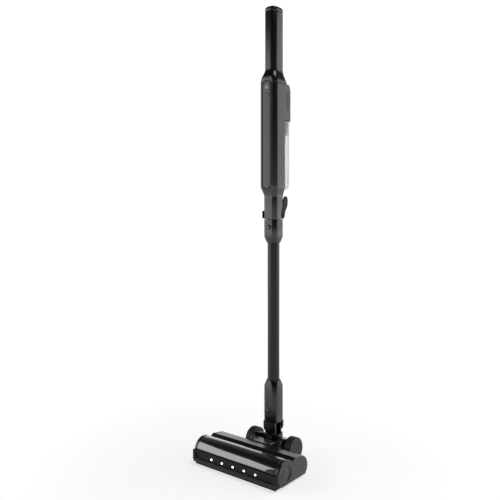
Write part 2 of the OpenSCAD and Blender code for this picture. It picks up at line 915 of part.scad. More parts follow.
module fan_motor() {
    color(steel) stand() translate([0, cup_y - 3, 0]) difference() {
        translate([0, 0, fan_z]) cylinder(r = fan_motor_r, h = fan_motor_h);
        translate([0, 0, fan_z + 2]) cylinder(r = fan_r + 1, h = 14);
        translate([0, 0, fan_z - 1]) cylinder(r = 9, h = 4);
        translate([0, 0, fan_z + 10]) cylinder(r = 2 + run, h = 32);
    }
}

module fan() {
    blades = 9;
    color(grey) stand() translate([0, cup_y - 3, 0]) union() {
        translate([0, 0, fan_z + 4]) cylinder(r = fan_r, h = 1.2);
        for (i = [0:blades - 1]) rotate(i * 360 / blades) translate([5, -0.5, fan_z + 5])
            cube([fan_r - 6, 1, 7]);
        translate([0, 0, fan_z + 4]) cylinder(r = 5.5, h = 6);
        translate([0, 0, fan_z + 4]) cylinder(r = 2, h = 36);
    }
}

module motor_mounts() {
    color("#101010") stand() translate([0, cup_y - 3, 0]) for (z = [fan_z + 3, fan_z + fan_motor_h - 8])
        translate([0, 0, z]) difference() {
            cylinder(r = fan_motor_r + 2, h = 5);
            translate([0, 0, -1]) cylinder(r = fan_motor_r, h = 7);
        }
}

module exhaust_filter() {
    color("#e8e6df") stand() translate([0, 0, body_top - 22]) linear_extrude(5)
        motor_outline(shell_wall + 3, motor_back - 8);
}

// Front buttons press back into the body.
module power_button() {
    color("#8b8e92") stand() union() {
        rod_y(power_r, -body_front - 2.6, -body_front + 4, 0, power_z);
    }
}

module mode_button() {
    color(satin) stand() translate([-8, -body_front - 2.2, mode_z - 3.5]) cube([16, 6, 7]);
}

// Ridged button on the neck's left side.
module side_button() {
    color(satin) stand() translate([-coupling_w / 2, -11, neck_z + 12.5]) union() {
        translate([-2, -5, -9.5]) cube([4, 10, 19]);
        for (z = [-5, 5]) translate([-2, 0, z]) rotate([90, 0, 0])
            cylinder(r = 2.6, h = 10, center = true);
    }
}

// ---------- dust cup ----------

module dust_cup() {
    foot = 14;
    color([0.85, 0.88, 0.9, 0.4]) stand() translate([0, cup_y, 0]) difference() {
        union() {
            translate([0, 0, cup_z]) cylinder(r1 = cup_r - 4, r2 = cup_r, h = foot);
            translate([0, 0, cup_z + foot]) cylinder(r = cup_r, h = cup_h - foot);
        }
        translate([0, 0, cup_z + foot]) cylinder(r = cup_r - cup_wall, h = cup_h);
        translate([0, 0, cup_z + cup_wall])
            cylinder(r1 = cup_r - 4 - cup_wall, r2 = cup_r - cup_wall, h = foot - cup_wall + eps);
        translate([-duct_hole_w / 2, -cup_r - 2, duct_hole_z]) cube([duct_hole_w, 10, duct_hole_h]);
    }
}

module filter_frame() {
    color([0.6, 0.63, 0.66, 0.6]) stand() translate([0, cup_y, 0]) difference() {
        union() {
            translate([0, 0, cup_top - filter_h]) cylinder(r = filter_r, h = filter_h);
            translate([0, 0, cup_top - 4]) cylinder(r = cup_r - cup_wall - 0.02, h = 4);
        }
        translate([0, 0, cup_top - filter_h + 2]) cylinder(r = filter_r - 2, h = filter_h);
    }
}

// Pleated paper filter inside the frame.
module fine_filter() {
    pleats = 18;
    color("#f1efe8") stand() translate([0, cup_y, cup_top - filter_h + 2.02])
        linear_extrude(filter_h - 5) difference() {
            union() {
                circle(filter_r - 6);
                for (i = [0:pleats - 1]) rotate(i * 360 / pleats) translate([filter_r - 8, -1]) square([5.5, 2]);
            }
            circle(filter_r - 10);
        }
}

// Gasket around the cup's inlet.
module cup_seal() {
    color("#101010") stand() difference() {
        translate([-duct_hole_w / 2 - 2, cup_y - cup_r - 1, duct_hole_z - 2])
            cube([duct_hole_w + 4, 6, duct_hole_h + 4]);
        translate([-duct_hole_w / 2, cup_y - cup_r - 2, duct_hole_z])
            cube([duct_hole_w, 8, duct_hole_h]);
        translate([0, cup_y, cup_z]) cylinder(r = cup_r, h = cup_h);
    }
}

// Lever that holds the cup: two cheeks on trunnions, joined by a thumb pad behind.
module lever_side() {
    hull() {
        translate([lever_y, lever_z]) circle(7);
        translate([lever_y + 6, lever_z + 16]) circle(5);
    }
    hull() {
        translate([lever_y + 6, lever_z + 16]) circle(5);
        translate([lever_y + 15, lever_z + 30]) circle(5);
        translate([lever_y + 10, lever_z + 46]) circle(3);
    }
}

module cup_lever() {
    half = coupling_w / 2;
    color(grey) stand() difference() {
        union() {
            for (s = [-1, 1]) across(2.8, s * (half - 1.5)) lever_side();
            across(2 * half - 2) intersection() {
                lever_side();
                translate([half + 1, lever_z]) square([30, 60]);
            }
        }
        for (s = [-1, 1]) rod_x(2 + run, s > 0 ? 14 : -half - 1, s > 0 ? half + 1 : -14,
            lever_y, lever_z);
    }
}

module lever_pins() {
    color(steel) stand() for (s = [-1, 1])
        rod_x(2, s > 0 ? 14 : -19, s > 0 ? 19 : -14, lever_y, lever_z);
}

// ---------- grip and battery ----------

module grip_shell() {
    bay_w = grip_w - 2 * grip_wall;
    bay_d = grip_d - 2 * grip_wall;
    color(black) stand() difference() {
        union() {
            hull() {
                slab(body_w, body_front + motor_back - slope_in, body_corner, body_top + 0.02,
                    (motor_back - slope_in - body_front) / 2);
                // the body's front face runs on up behind the panel's round top
                translate([-arch_w / 2, -body_front, body_top + arch_h]) cube([arch_w, 1, eps]);
                slab(grip_w - 0.1, grip_d - 0.1, grip_corner, grip_z, grip_y);
            }
            post(grip_w, grip_d, grip_corner, grip_z - 2, cap_z, grip_y);
        }
        post(bay_w, bay_d, grip_corner - grip_wall, body_top + shoulder_h - 18, cap_z + 1, grip_y);
        for (s = [-1, 1]) grip_button_hole(s);
    }
}

// Half-moon opening in the grip's side, below the battery's cap.
module half_moon(grow) {
    intersection() {
        translate([grip_y, cap_z - 8]) circle(11 + grow);
        translate([grip_y - 20, cap_z - 24]) square([40, 24 - 2 + grow]);
    }
}

module grip_button_hole(s) {
    across(grip_wall + 4, s * (grip_w / 2)) half_moon(gap);
}

module grip_button(s) {
    color(satin) stand() across(grip_wall, s * (grip_w - grip_wall) / 2 + s * 0.6) half_moon(0);
}

module grip_button_left() {
    grip_button(-1);
}

module grip_button_right() {
    grip_button(1);
}

// Round socket for the charger's plug, open to the rear.
module charge_socket() {
    color("#0c0c0d") stand() difference() {
        translate([-socket_w / 2, motor_back - socket_len, inlet_z - socket_w / 2])
            cube([socket_w, socket_len, socket_w]);
        rod_y(inlet_r, motor_back - inlet_len, motor_back + 1, 0, inlet_z);
    }
}

// Battery pack: its case slides into the grip from above, and its cap closes the grip.
module battery_pack() {
    w = grip_w - 2 * grip_wall - 3.2;
    d = grip_d - 2 * grip_wall - 1;
    floor_z = body_top + shoulder_h - 17;
    color(dark) stand() difference() {
        union() {
            post(w, d, grip_corner - grip_wall - 1, floor_z, cap_z + 1, grip_y);
            post(grip_w, grip_d, grip_corner, cap_z + 0.3, top_z - 5, grip_y);
            hull() {
                slab(grip_w - 0.1, grip_d - 0.1, grip_corner, top_z - 5.5, grip_y);
                slab(grip_w - 7, grip_d - 7, grip_corner - 3.5, top_z - eps, grip_y);
            }
        }
        battery_bay();
        // window for the contacts in the case's foot
        translate([-6, grip_y - 4, floor_z - 1]) cube([12, 8, 6]);
    }
}

// Space for the cells inside the battery's case.
module battery_bay() {
    post(grip_w - 2 * grip_wall - 6.4, grip_d - 2 * grip_wall - 4, 8,
        body_top + shoulder_h - 15, cap_z - 4, grip_y);
}

// Cells stand in two columns of two.
module battery_cells() {
    r = 9;
    h = 65;
    color("#2f6fb0") stand() for (y = [-1, 1], i = [0, 1])
        translate([0, grip_y + y * (r + 0.1), body_top + shoulder_h - 14 + i * (h + 1)])
            cylinder(r = r, h = h);
}

// ---------- which piece to draw ----------

base_housing();
deck_cover();
brush_window();
front_bumper();
lamp_board();
lamp_lenses();
side_cap_left();
side_cap_right();
sole_plate();
front_skirt();
sole_screws();
brush_motor();
air_duct();
yoke();
axle();
drive_belt();
brush_core();
brush_bristles();
brush_pulley();
motor_pulley();
brush_end_cap();
wheel_left();
tyre_left();
wheel_right();
tyre_right();
neck_barrel();
neck_pins();
neck_hose();
swivel_socket();
low_button();
low_spring();
tube();
up_coupling();
up_button();
up_spring();
main_shell();
rear_shell();
front_panel();
panel_trim();
circuit_board();
inlet_duct();
fan_motor();
motor_mounts();
fan();
exhaust_filter();
power_button();
mode_button();
side_button();
dust_cup();
filter_frame();
fine_filter();
cup_seal();
cup_lever();
lever_pins();
grip_shell();
charge_socket();
battery_pack();
battery_cells();
grip_button_left();
grip_button_right();
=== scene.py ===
"""Cordless stick vacuum: shells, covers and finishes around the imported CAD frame.

Every new piece is a surface worked out with numpy from a few sizes, in metres, in the frame's
own axes: +Z up along the stick, -Y to the front, +X to the right when the front is looked at.
"""

import bpy
import numpy as np
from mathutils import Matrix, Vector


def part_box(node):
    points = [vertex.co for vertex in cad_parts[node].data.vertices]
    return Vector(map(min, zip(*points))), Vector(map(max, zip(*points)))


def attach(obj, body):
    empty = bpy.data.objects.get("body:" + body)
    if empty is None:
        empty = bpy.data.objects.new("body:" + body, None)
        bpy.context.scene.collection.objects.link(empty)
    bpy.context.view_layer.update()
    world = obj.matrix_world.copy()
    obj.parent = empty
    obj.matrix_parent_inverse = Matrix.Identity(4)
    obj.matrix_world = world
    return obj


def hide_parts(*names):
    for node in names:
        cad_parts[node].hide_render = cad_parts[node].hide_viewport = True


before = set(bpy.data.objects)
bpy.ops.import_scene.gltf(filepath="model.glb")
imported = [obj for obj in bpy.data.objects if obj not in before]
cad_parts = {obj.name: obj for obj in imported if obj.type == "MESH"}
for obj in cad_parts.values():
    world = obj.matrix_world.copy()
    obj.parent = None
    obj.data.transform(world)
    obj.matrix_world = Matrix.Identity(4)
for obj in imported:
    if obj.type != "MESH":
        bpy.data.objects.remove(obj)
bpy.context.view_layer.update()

bl_info = {
    "name": "Cordless stick vacuum",
    "version": (1, 0, 0),
    "blender": (4, 5, 0),
    "location": "View3D > Sidebar > Vacuum",
    "description": "Builds the shells, covers, finishes and stage of a cordless stick vacuum",
    "category": "Object",
}

MM = 0.001
TAU = 2 * np.pi


def low(node):
    """Lowest corner of a CAD node, as an array."""
    return np.array(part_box(node)[0])


def high(node):
    """Highest corner of a CAD node, as an array."""
    return np.array(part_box(node)[1])


# Places read from the frame
TUBE_Y = float((low("tube")[1] + high("tube")[1]) / 2)
BRUSH_Y = float((low("brush_core")[1] + high("brush_core")[1]) / 2)
BRUSH_Z = float((low("brush_core")[2] + high("brush_core")[2]) / 2)
WHEEL_Z = float(high("tyre_left")[2]) / 2
LOBE_R = float(high("brush_window")[2]) / 2
CAP_IN = float(low("side_cap_right")[0])
CAP_OUT = float(high("side_cap_right")[0])
CUP_Y = float((low("dust_cup")[1] + high("dust_cup")[1]) / 2)


# ---------- meshes ----------

def new_object(name, verts, faces, smooth=True):
    """A mesh object at the origin from arrays of points and faces."""
    mesh = bpy.data.meshes.new(name)
    mesh.from_pydata(verts.tolist(), [], faces)
    mesh.update()
    mesh.shade_smooth() if smooth else mesh.shade_flat()
    piece = bpy.data.objects.new(name, mesh)
    bpy.context.scene.collection.objects.link(piece)
    return piece


def grid_faces(rows, cols, wrap_rows=False, wrap_cols=False, start=0):
    """Quads over a rows by cols grid of points, closed along either way if asked."""
    i = np.arange(rows if wrap_rows else rows - 1)[:, None]
    j = np.arange(cols if wrap_cols else cols - 1)[None, :]
    i2, j2 = (i + 1) % rows, (j + 1) % cols
    quads = np.stack([i * cols + j, i * cols + j2, i2 * cols + j2, i2 * cols + j], axis=-1)
    return (quads.reshape(-1, 4) + start).tolist()


def skin(name, grid, wrap_rows=False, wrap_cols=False, caps=False, flip=False):
    """A surface over grid[rows, cols, 3]; caps closes the first and last rows with a face each."""
    rows, cols = grid.shape[:2]
    faces = grid_faces(rows, cols, wrap_rows, wrap_cols)
    if caps:
        faces.append(list(range(cols))[::-1])
        faces.append(list(range((rows - 1) * cols, rows * cols)))
    if flip:
        faces = [f[::-1] for f in faces]
    return new_object(name, grid.reshape(-1, 3), faces)


def join(name, parts):
    """One object from several, their meshes put together."""
    verts, faces, start = [], [], 0
    for part in parts:
        points = np.empty(len(part.data.vertices) * 3)
        part.data.vertices.foreach_get("co", points)
        verts.append(points.reshape(-1, 3))
        faces += [[v + start for v in p.vertices] for p in part.data.polygons]
        start += len(part.data.vertices)
        bpy.data.objects.remove(part)
    return new_object(name, np.concatenate(verts), faces)


def sharpen(piece, degrees=35):
    """Smooth shading that stays crisp over edges sharper than degrees."""
    piece.data.set_sharp_from_angle(angle=np.radians(degrees))
    return piece


def bevel(piece, width, segments=3, degrees=30):
    """Rounds the piece's sharp edges by width metres."""
    mod = piece.modifiers.new("rounded edges", "BEVEL")
    mod.width = width
    mod.segments = segments
    mod.limit_method = "ANGLE"
    mod.angle_limit = np.radians(degrees)
    mod.harden_normals = False
    return piece


def thicken(piece, wall, offset=-1):
    """Gives an open skin a wall, inwards unless offset says otherwise."""
    mod = piece.modifiers.new("wall", "SOLIDIFY")
    mod.thickness = wall
    mod.offset = offset
    mod.use_even_offset = True
    return piece


def ring(width, depth, radius, per_corner=14):
    """Rounded rectangle, anticlockwise from above: a quarter circle of radius about each corner's
    centre. width, depth and radius may be arrays, which give one outline for each value."""
    width, depth, radius = np.broadcast_arrays(*np.atleast_1d(width, depth, radius))
    turn = np.linspace(0, TAU / 4, per_corner)[None, :]
    sides = []
    for quarter, (sx, sy) in enumerate([(1, 1), (-1, 1), (-1, -1), (1, -1)]):
        angle = turn + quarter * TAU / 4
        x = sx * (width / 2 - radius)[:, None] + radius[:, None] * np.cos(angle)
        y = sy * (depth / 2 - radius)[:, None] + radius[:, None] * np.sin(angle)
        sides.append(np.stack([x, y], axis=-1))
    return np.concatenate(sides, axis=1)


def rounded_ends(z0, z1, fillet0, fillet1, rows=2, steps=6):
    """Heights from z0 to z1 and, for each, how far the outline is taken in: a quarter circle of
    the fillet's radius at each end, straight between."""
    a = np.linspace(0, TAU / 4, steps)
    z = np.concatenate([z0 + fillet0 * (1 - np.cos(a)), np.linspace(z0 + fillet0, z1 - fillet1, rows + 2)[1:-1],
                        z1 - fillet1 * (1 - np.cos(a[::-1]))])
    inset = np.concatenate([fillet0 * (1 - np.sin(a)), np.zeros(rows), fillet1 * (1 - np.sin(a[::-1]))])
    return z, inset


def column(name, z, width, depth, radius, x=0.0, y=0.0):
    """An upright solid: a rounded rectangle at each height, closed at both ends."""
    z = np.asarray(z, float)
    outline = ring(np.broadcast_to(width, z.shape), np.broadcast_to(depth, z.shape),
                   np.broadcast_to(radius, z.shape))
    px = outline[..., 0] + np.broadcast_to(x, z.shape)[:, None]
    py = outline[..., 1] + np.broadcast_to(y, z.shape)[:, None]
    pz = np.broadcast_to(z[:, None], px.shape)
    return skin(name, np.stack([px, py, pz], axis=-1), wrap_cols=True, caps=True)


def lathe(name, radius, along, axis, centre, segments=96):
    """A profile turned about an axis: radius and place along the axis, swept through a full turn.
    The profile runs so that its outside is on the left as it goes along the axis."""
    radius, along = np.asarray(radius, float), np.asarray(along, float)
    turn = np.linspace(0, TAU, segments, endpoint=False)
    a = radius[:, None] * np.cos(turn)[None, :]
    b = radius[:, None] * np.sin(turn)[None, :]
    c = np.broadcast_to(along[:, None], a.shape)
    order = {"X": (c, a, b), "Y": (b, c, a), "Z": (a, b, c)}[axis]
    grid = np.stack(order, axis=-1) + np.asarray(centre, float)
    return skin(name, grid, wrap_cols=True, caps=True)


def extrude_x(name, outline, x0, x1, fillet=0.0, steps=5):
    """A closed (Y, Z) outline carried from x0 to x1, its rim rounded by moving each point in
    along the outline's normal as a quarter circle does."""
    nxt, prv = np.roll(outline, -1, 0), np.roll(outline, 1, 0)
    tangent = nxt - prv
    tangent /= np.linalg.norm(tangent, axis=1, keepdims=True)
    inward = np.stack([-tangent[:, 1], tangent[:, 0]], axis=-1)
    x, inset = rounded_ends(x0, x1, fillet, fillet, 2, steps) if fillet else (np.array([x0, x1]), np.zeros(2))
    yz = outline[None] + inward[None] * inset[:, None, None]
    grid = np.concatenate([np.broadcast_to(x[:, None, None], yz.shape[:2] + (1,)), yz], axis=-1)
    return skin(name, grid, wrap_cols=True, caps=True)


def arc(cy, cz, r, a0, a1, n=24):
    """Points on a circle in the (Y, Z) plane from angle a0 to a1, in degrees from +Y."""
    a = np.radians(np.linspace(a0, a1, n))
    return np.stack([cy + r * np.cos(a), cz + r * np.sin(a)], axis=-1)


# ---------- finishes ----------

def linear(hexcode):
    """A linear RGBA colour from an sRGB hex value."""
    c = np.array([int(hexcode[i:i + 2], 16) for i in (1, 3, 5)]) / 255
    c = np.where(c <= 0.04045, c / 12.92, ((c + 0.055) / 1.055) ** 2.4)
    return (*[float(v) for v in c], 1.0)


def add_node(tree, kind, settings=None, inputs=None, links=None):
    """Adds a node with its settings, input values and links from other nodes' outputs."""
    made = tree.nodes.new(kind)
    for key, value in (settings or {}).items():
        setattr(made, key, value)
    for key, value in (inputs or {}).items():
        made.inputs[key].default_value = value
    for key, (source, output) in (links or {}).items():
        tree.links.new(source.outputs[output], made.inputs[key])
    return made


def blank(name):
    """A new material with only its output, as (material, tree, output)."""
    made = bpy.data.materials.new(name)
    made.use_nodes = True
    made.node_tree.nodes.clear()
    return made, made.node_tree, add_node(made.node_tree, "ShaderNodeOutputMaterial")


def shade(colour, factor):
    """The colour made lighter or darker by factor."""
    return (*[min(float(c) * factor, 1.0) for c in tuple(colour)[:3]], 1.0)


def textured(name, tone, drift, rough, rough_spread, grain_mm, grain_depth_mm, settings=None):
    """A surface with fine grain: its colour drifts from tone to tone times drift over a few
    centimetres, its roughness varies by rough_spread with it, and a noise of grain_mm lifts it
    by grain_depth_mm."""
    made, tree, out = blank(name)
    place = add_node(tree, "ShaderNodeTexCoord")
    cloud = add_node(tree, "ShaderNodeTexNoise", inputs={"Scale": 1 / (35 * MM), "Detail": 3.0},
                     links={"Vector": (place, "Object")})
    colour = add_node(tree, "ShaderNodeMix", {"data_type": "RGBA"},
                      {6: tuple(tone), 7: shade(tone, drift)}, {0: (cloud, "Fac")})
    spread = add_node(tree, "ShaderNodeMapRange", inputs={"To Min": rough - rough_spread,
                      "To Max": rough + rough_spread}, links={"Value": (cloud, "Fac")})
    grain = add_node(tree, "ShaderNodeTexNoise", inputs={"Scale": 1 / (grain_mm * MM), "Detail": 2.0},
                     links={"Vector": (place, "Object")})
    bump = add_node(tree, "ShaderNodeBump", inputs={"Strength": 0.6, "Distance": grain_depth_mm * MM},
                    links={"Height": (grain, "Fac")})
    shader = add_node(tree, "ShaderNodeBsdfPrincipled", inputs=settings,
                      links={"Base Color": (colour, 2), "Roughness": (spread, "Result"), "Normal": (bump, "Normal")})
    tree.links.new(shader.outputs[0], out.inputs["Surface"])
    return made


def woven(name, tone, pitch_mm, depth_mm, axis, rough, settings=None):
    """A surface with parallel ribs pitch_mm apart, crossing axis: threads, pleats or brush hair."""
    made, tree, out = blank(name)
    place = add_node(tree, "ShaderNodeTexCoord")
    ribs = add_node(tree, "ShaderNodeTexWave", {"bands_direction": axis},
                    {"Scale": 0.314 / (pitch_mm * MM), "Distortion": 1.5, "Detail": 2.0},
                    {"Vector": (place, "Object")})
    # Colour follows the ribs: 0.7 of the tone in their troughs, where the bump sinks, and full tone on their crests. On
    # the circuit board this is the weave's own pattern; on the filter pleats and the brush hair it is painted shade in
    # the grooves.
    colour = add_node(tree, "ShaderNodeMix", {"data_type": "RGBA"},
                      {6: shade(tone, 0.7), 7: tuple(tone)}, {0: (ribs, "Fac")})
    bump = add_node(tree, "ShaderNodeBump", inputs={"Strength": 0.8, "Distance": depth_mm * MM},
                    links={"Height": (ribs, "Fac")})
    shader = add_node(tree, "ShaderNodeBsdfPrincipled", inputs={"Roughness": rough, **(settings or {})},
                      links={"Base Color": (colour, 2), "Normal": (bump, "Normal")})
    tree.links.new(shader.outputs[0], out.inputs["Surface"])
    return made


def tinted_pane(name, tone, cell_mm):
    """Smoked acrylic, moulded with a faint quilt of diamonds cell_mm across on its inner face."""
    made, tree, out = blank(name)
    place = add_node(tree, "ShaderNodeTexCoord")
    turn = add_node(tree, "ShaderNodeMapping", inputs={"Rotation": (0.0, 0.0, TAU / 8)},
                    links={"Vector": (place, "Object")})
    cells = add_node(tree, "ShaderNodeTexVoronoi", {"feature": "DISTANCE_TO_EDGE"},
                     {"Scale": 1 / (cell_mm * MM), "Randomness": 0.0}, {"Vector": (turn, "Vector")})
    bump = add_node(tree, "ShaderNodeBump", inputs={"Strength": 0.05, "Distance": 0.05 * MM},
                    links={"Height": (cells, "Distance")})
    colour = add_node(tree, "ShaderNodeMix", {"data_type": "RGBA"},
                      {6: shade(tone, 0.8), 7: tuple(tone)}, {0: (cells, "Distance")})
    shader = add_node(tree, "ShaderNodeBsdfPrincipled",
                      inputs={"Roughness": 0.3, "IOR": 1.45, "Transmission Weight": 0.15, "Coat Weight": 1.0,
                              "Coat IOR": 2.1, "Coat Roughness": 0.03},
                      links={"Base Color": (colour, 2), "Normal": (bump, "Normal")})
    tree.links.new(shader.outputs[0], out.inputs["Surface"])
    return made


def clear_wall(name, tone):
    """Clear moulded plastic: light passes straight through a thin wall, with a glossy skin whose
    reflection grows towards the rim."""
    made, tree, out = blank(name)
    place = add_node(tree, "ShaderNodeTexCoord")
    haze = add_node(tree, "ShaderNodeTexNoise", inputs={"Scale": 1 / (20 * MM), "Detail": 2.0},
                    links={"Vector": (place, "Object")})
    tint = add_node(tree, "ShaderNodeMix", {"data_type": "RGBA"},
                    {6: tuple(tone), 7: shade(tone, 0.97)}, {0: (haze, "Fac")})
    through = add_node(tree, "ShaderNodeBsdfTransparent", links={"Color": (tint, 2)})
    gloss = add_node(tree, "ShaderNodeBsdfGlossy", inputs={"Roughness": 0.05})
    facing = add_node(tree, "ShaderNodeLayerWeight", inputs={"Blend": 0.12})
    share = add_node(tree, "ShaderNodeMapRange", inputs={"To Min": 0.02, "To Max": 0.35},
                     links={"Value": (facing, "Facing")})
    mixed = add_node(tree, "ShaderNodeMixShader", links={0: (share, "Result"), 1: (through, 0), 2: (gloss, 0)})
    tree.links.new(mixed.outputs[0], out.inputs["Surface"])
    return made


def lit_lens(name, tone, strength):
    """Frosted lens with a white light behind it."""
    made, tree, out = blank(name)
    place = add_node(tree, "ShaderNodeTexCoord")
    frost = add_node(tree, "ShaderNodeTexNoise", inputs={"Scale": 1 / (1.5 * MM)}, links={"Vector": (place, "Object")})
    bump = add_node(tree, "ShaderNodeBump", inputs={"Strength": 0.3, "Distance": 0.1 * MM},
                    links={"Height": (frost, "Fac")})
    shader = add_node(tree, "ShaderNodeBsdfPrincipled",
                      inputs={"Base Color": tuple(tone), "Roughness": 0.3, "Emission Color": tuple(tone),
                              "Emission Strength": strength}, links={"Normal": (bump, "Normal")})
    tree.links.new(shader.outputs[0], out.inputs["Surface"])
    return made


def make_finishes(c):
    """Every finish, by the record's slot: c holds the colours."""
    return {
        # Injection-moulded ABS from a spark-eroded tool: deep black, soft broad highlights
        "black_plastic": textured("moulded_abs_black", c.body, 1.25, 0.27, 0.03, 0.9, 0.003, {"IOR": 1.54}),
        # The same ABS from a polished tool, a shade lighter: tighter highlights on the nozzle
        "satin_plastic": textured("polished_abs_charcoal", c.nozzle, 1.2, 0.26, 0.03, 0.9, 0.003, {"IOR": 1.54}),
        # Hard-coated acrylic panel: near mirror, a faint orange peel from the coat
        "gloss_panel": textured("hard_coated_acrylic", c.panel, 1.15, 0.27, 0.02, 3.0, 0.004,
                                {"IOR": 1.49, "Coat Weight": 0.15, "Coat Roughness": 0.1}),
        # Painted ABS trim: cool grey with a fine grain
        "grey_trim": textured("painted_abs_grey", c.trim, 0.92, 0.34, 0.04, 0.3, 0.01, {"IOR": 1.5}),
        "tinted_window": tinted_pane("smoked_acrylic", c.window, 3.2),
        # Translucent painted cap of a backlit button: pale grey, matt
        "backlit": textured("backlit_painted_cap", c.button, 0.9, 0.45, 0.03, 0.6, 0.01),
        "lamp_lens": lit_lens("frosted_polycarbonate", c.lamp, 3.0),
        "clear_cup": clear_wall("clear_styrene", c.cup),
        # Moulded polypropylene filter frame: milky grey, waxy
        "filter_plastic": textured("moulded_polypropylene", c.filter, 0.95, 0.45, 0.04, 0.8, 0.01,
                                   {"Subsurface Weight": 0.1, "Subsurface Scale": 0.002}),
        # Drawn aluminium tube, anodised black: a dark metal with a fine grain
        "black_tube": textured("anodised_aluminium_black", c.tube, 1.15, 0.34, 0.03, 0.3, 0.006,
                               {"Metallic": 0.35}),
        # Turned steel: bright, with fine tool marks
        "steel": textured("turned_steel", c.steel, 0.9, 0.28, 0.05, 0.2, 0.008, {"Metallic": 1.0}),
        # Thermoplastic elastomer: matt, dusty black
        "soft_rubber": textured("moulded_elastomer", c.rubber, 1.3, 0.6, 0.05, 0.5, 0.015, {"Specular IOR Level": 0.25}),
        # Overmoulded wheel tread: matt, slightly scuffed
        "tyre_rubber": textured("overmoulded_tyre", c.rubber, 1.6, 0.55, 0.06, 0.7, 0.03),
        # Nylon filament tufts: dark, with the sheen of parallel hair
        "bristle": woven("nylon_filament", c.bristle, 1.2, 0.3, "X", 0.5, {"Sheen Weight": 0.4}),
        # Solder-masked glass-fibre board: green, satin, with the weave under the mask
        "circuit": woven("solder_masked_board", c.board, 1.6, 0.04, "X", 0.35),
        # Pleated spun-bonded filter paper: off-white folds
        "filter_media": woven("pleated_filter_paper", c.paper, 3.0, 1.2, "X", 0.85),
        # Shrink-wrapped PVC sleeve: smooth and slightly wrinkled
        "cell_wrap": textured("shrink_wrapped_pvc", c.wrap, 0.85, 0.3, 0.05, 4.0, 0.05),
    }


# ---------- floor nozzle ----------

def at_stick(points):
    """(Y, Z) points in millimetres from the stick's axis and the floor, moved into the frame."""
    return np.asarray(points, float) * MM + np.array([TUBE_Y, 0.0])


def deck_path():
    """The deck's top from its rear to the valley: a circle of 26, a crest of radius 4 that it
    runs to along their shared tangent, then a slope down into the valley behind the lobe."""
    return np.concatenate([arc(-62.5, 23, 26, 7, 81, 22), arc(-86, 49, 4, 81, 118, 8), [[-93, 50.0], [-97.4, 47.9]]])


def lobe_path(a1=243.5):
    """Brush cover from the valley forward: an arc of 39.5 to the crown, then the circle of 29
    round the front to angle a1."""
    return np.concatenate([arc(-125, 18.5, 39.5, 47.9, 88, 16), arc(-125, 29, 29, 90, a1, 44)])


def side_path():
    """The nozzle's whole side outline, anticlockwise with the front on the left."""
    return np.concatenate([arc(-62.5, 23, 26, -50, 5, 14), deck_path(), lobe_path(), [[-125, 3.05], [-90, 3.05]]])


def inward(path, closed=False):
    """Unit normals to the left of a path of (Y, Z) points."""
    tangent = np.roll(path, -1, 0) - np.roll(path, 1, 0) if closed else np.gradient(path, axis=0)
    tangent = tangent / np.linalg.norm(tangent, axis=1, keepdims=True)
    return np.stack([-tangent[:, 1], tangent[:, 0]], axis=-1)


def band(path, wall):
    """A closed outline: the path, then the same path moved in by the wall and run backwards."""
    return np.concatenate([path, (path + inward(path) * wall)[::-1]])


def side_cap(s):
    """End cap on side s: its outline carried outwards, over a rounded rim, then drawn in along
    straight rays to a round recess, down the recess's wall to its floor."""
    outline = at_stick(side_path())
    normal = inward(outline, closed=True)
    middle = np.array([BRUSH_Y, BRUSH_Z])
    ray = outline - middle
    ray /= np.linalg.norm(ray, axis=1, keepdims=True)
    rim = 2.6 * MM
    rows = [(CAP_IN + 0.2 * MM, outline), (CAP_OUT - rim, outline)]
    for a in np.linspace(0, TAU / 4, 7)[1:]:
        rows.append((CAP_OUT - rim * (1 - np.sin(a)), outline + normal * rim * (1 - np.cos(a))))
    face = rows[-1][1]
    recess = middle + ray * 20.1 * MM
    for t in (0.15, 0.5, 0.9, 1.0):
        rows.append((CAP_OUT, face * (1 - t) + (middle + ray * 20.7 * MM) * t))
    rows += [(CAP_OUT - 0.2 * MM, middle + ray * 20.3 * MM), (CAP_OUT - 0.6 * MM, recess),
             (CAP_OUT - 3.6 * MM, recess)]
    grid = np.stack([np.column_stack([np.full(len(yz), x * s), yz]) for x, yz in rows])
    piece = skin("side_cap_shell_" + ("right" if s > 0 else "left"), grid, wrap_cols=True, caps=True, flip=s < 0)
    return sharpen(piece, 40)


def end_disc(name, s):
    """Round disc in the side cap's recess: a lathe profile with a rounded rim, a shallow dish
    and a fine ring groove."""
    face = s * (CAP_OUT - 0.7 * MM)
    r = np.array([0.01, 8, 14.5, 15.0, 15.6, 16.1, 18.6, 19.2, 19.5, 19.5]) * MM
    drop = np.array([0.5, 0.5, 0.3, 0.7, 0.7, 0.1, 0, 0.15, 0.6, 2.4]) * MM
    if s > 0:
        r, drop = r[::-1], drop[::-1]
    return sharpen(lathe(name, r, face - s * drop, "X", (0, BRUSH_Y, BRUSH_Z)), 50)


def bumper_outline(lamp_channel):
    """Bumper's section, anticlockwise: up its back along the brush cover, over a beaded top edge,
    down the face, where the lamp channel may be sunk, and under to the skirt."""
    back = arc(-125, 29, 29.3, 236, 169, 14)
    top = np.concatenate([[[-155.5, 33.6]], arc(-158.4, 32.6, 2.4, 60, 180, 10)])
    channel = np.array([[-160.6, 29.4], [-157.6, 28.2], [-157.2, 27.4], [-157.2, 17.8], [-157.6, 17.0],
                        [-160.2, 16.2]])
    if not lamp_channel:
        channel = channel[[0, -1]]
    lip = np.concatenate([arc(-159.6, 14.2, 1.35, 150, 215, 6), [[-157.2, 5.2], [-156.2, 4.6], [-149, 4.6]]])
    return at_stick(np.concatenate([back, top, channel, lip]))


def lamp(x):
    """One lamp: a shallow domed lens turned about Y, r from the sine and depth from the cosine."""
    a = np.linspace(0.02, TAU / 4, 7)
    r = np.concatenate([1.85 * np.sin(a), [1.85]]) * MM
    y = np.concatenate([-158.2 - 0.9 * np.cos(a), [-156.4]]) * MM + TUBE_Y
    return lathe("lens", r * 1.15, y, "Y", (x, 0, 22.6 * MM), 32)


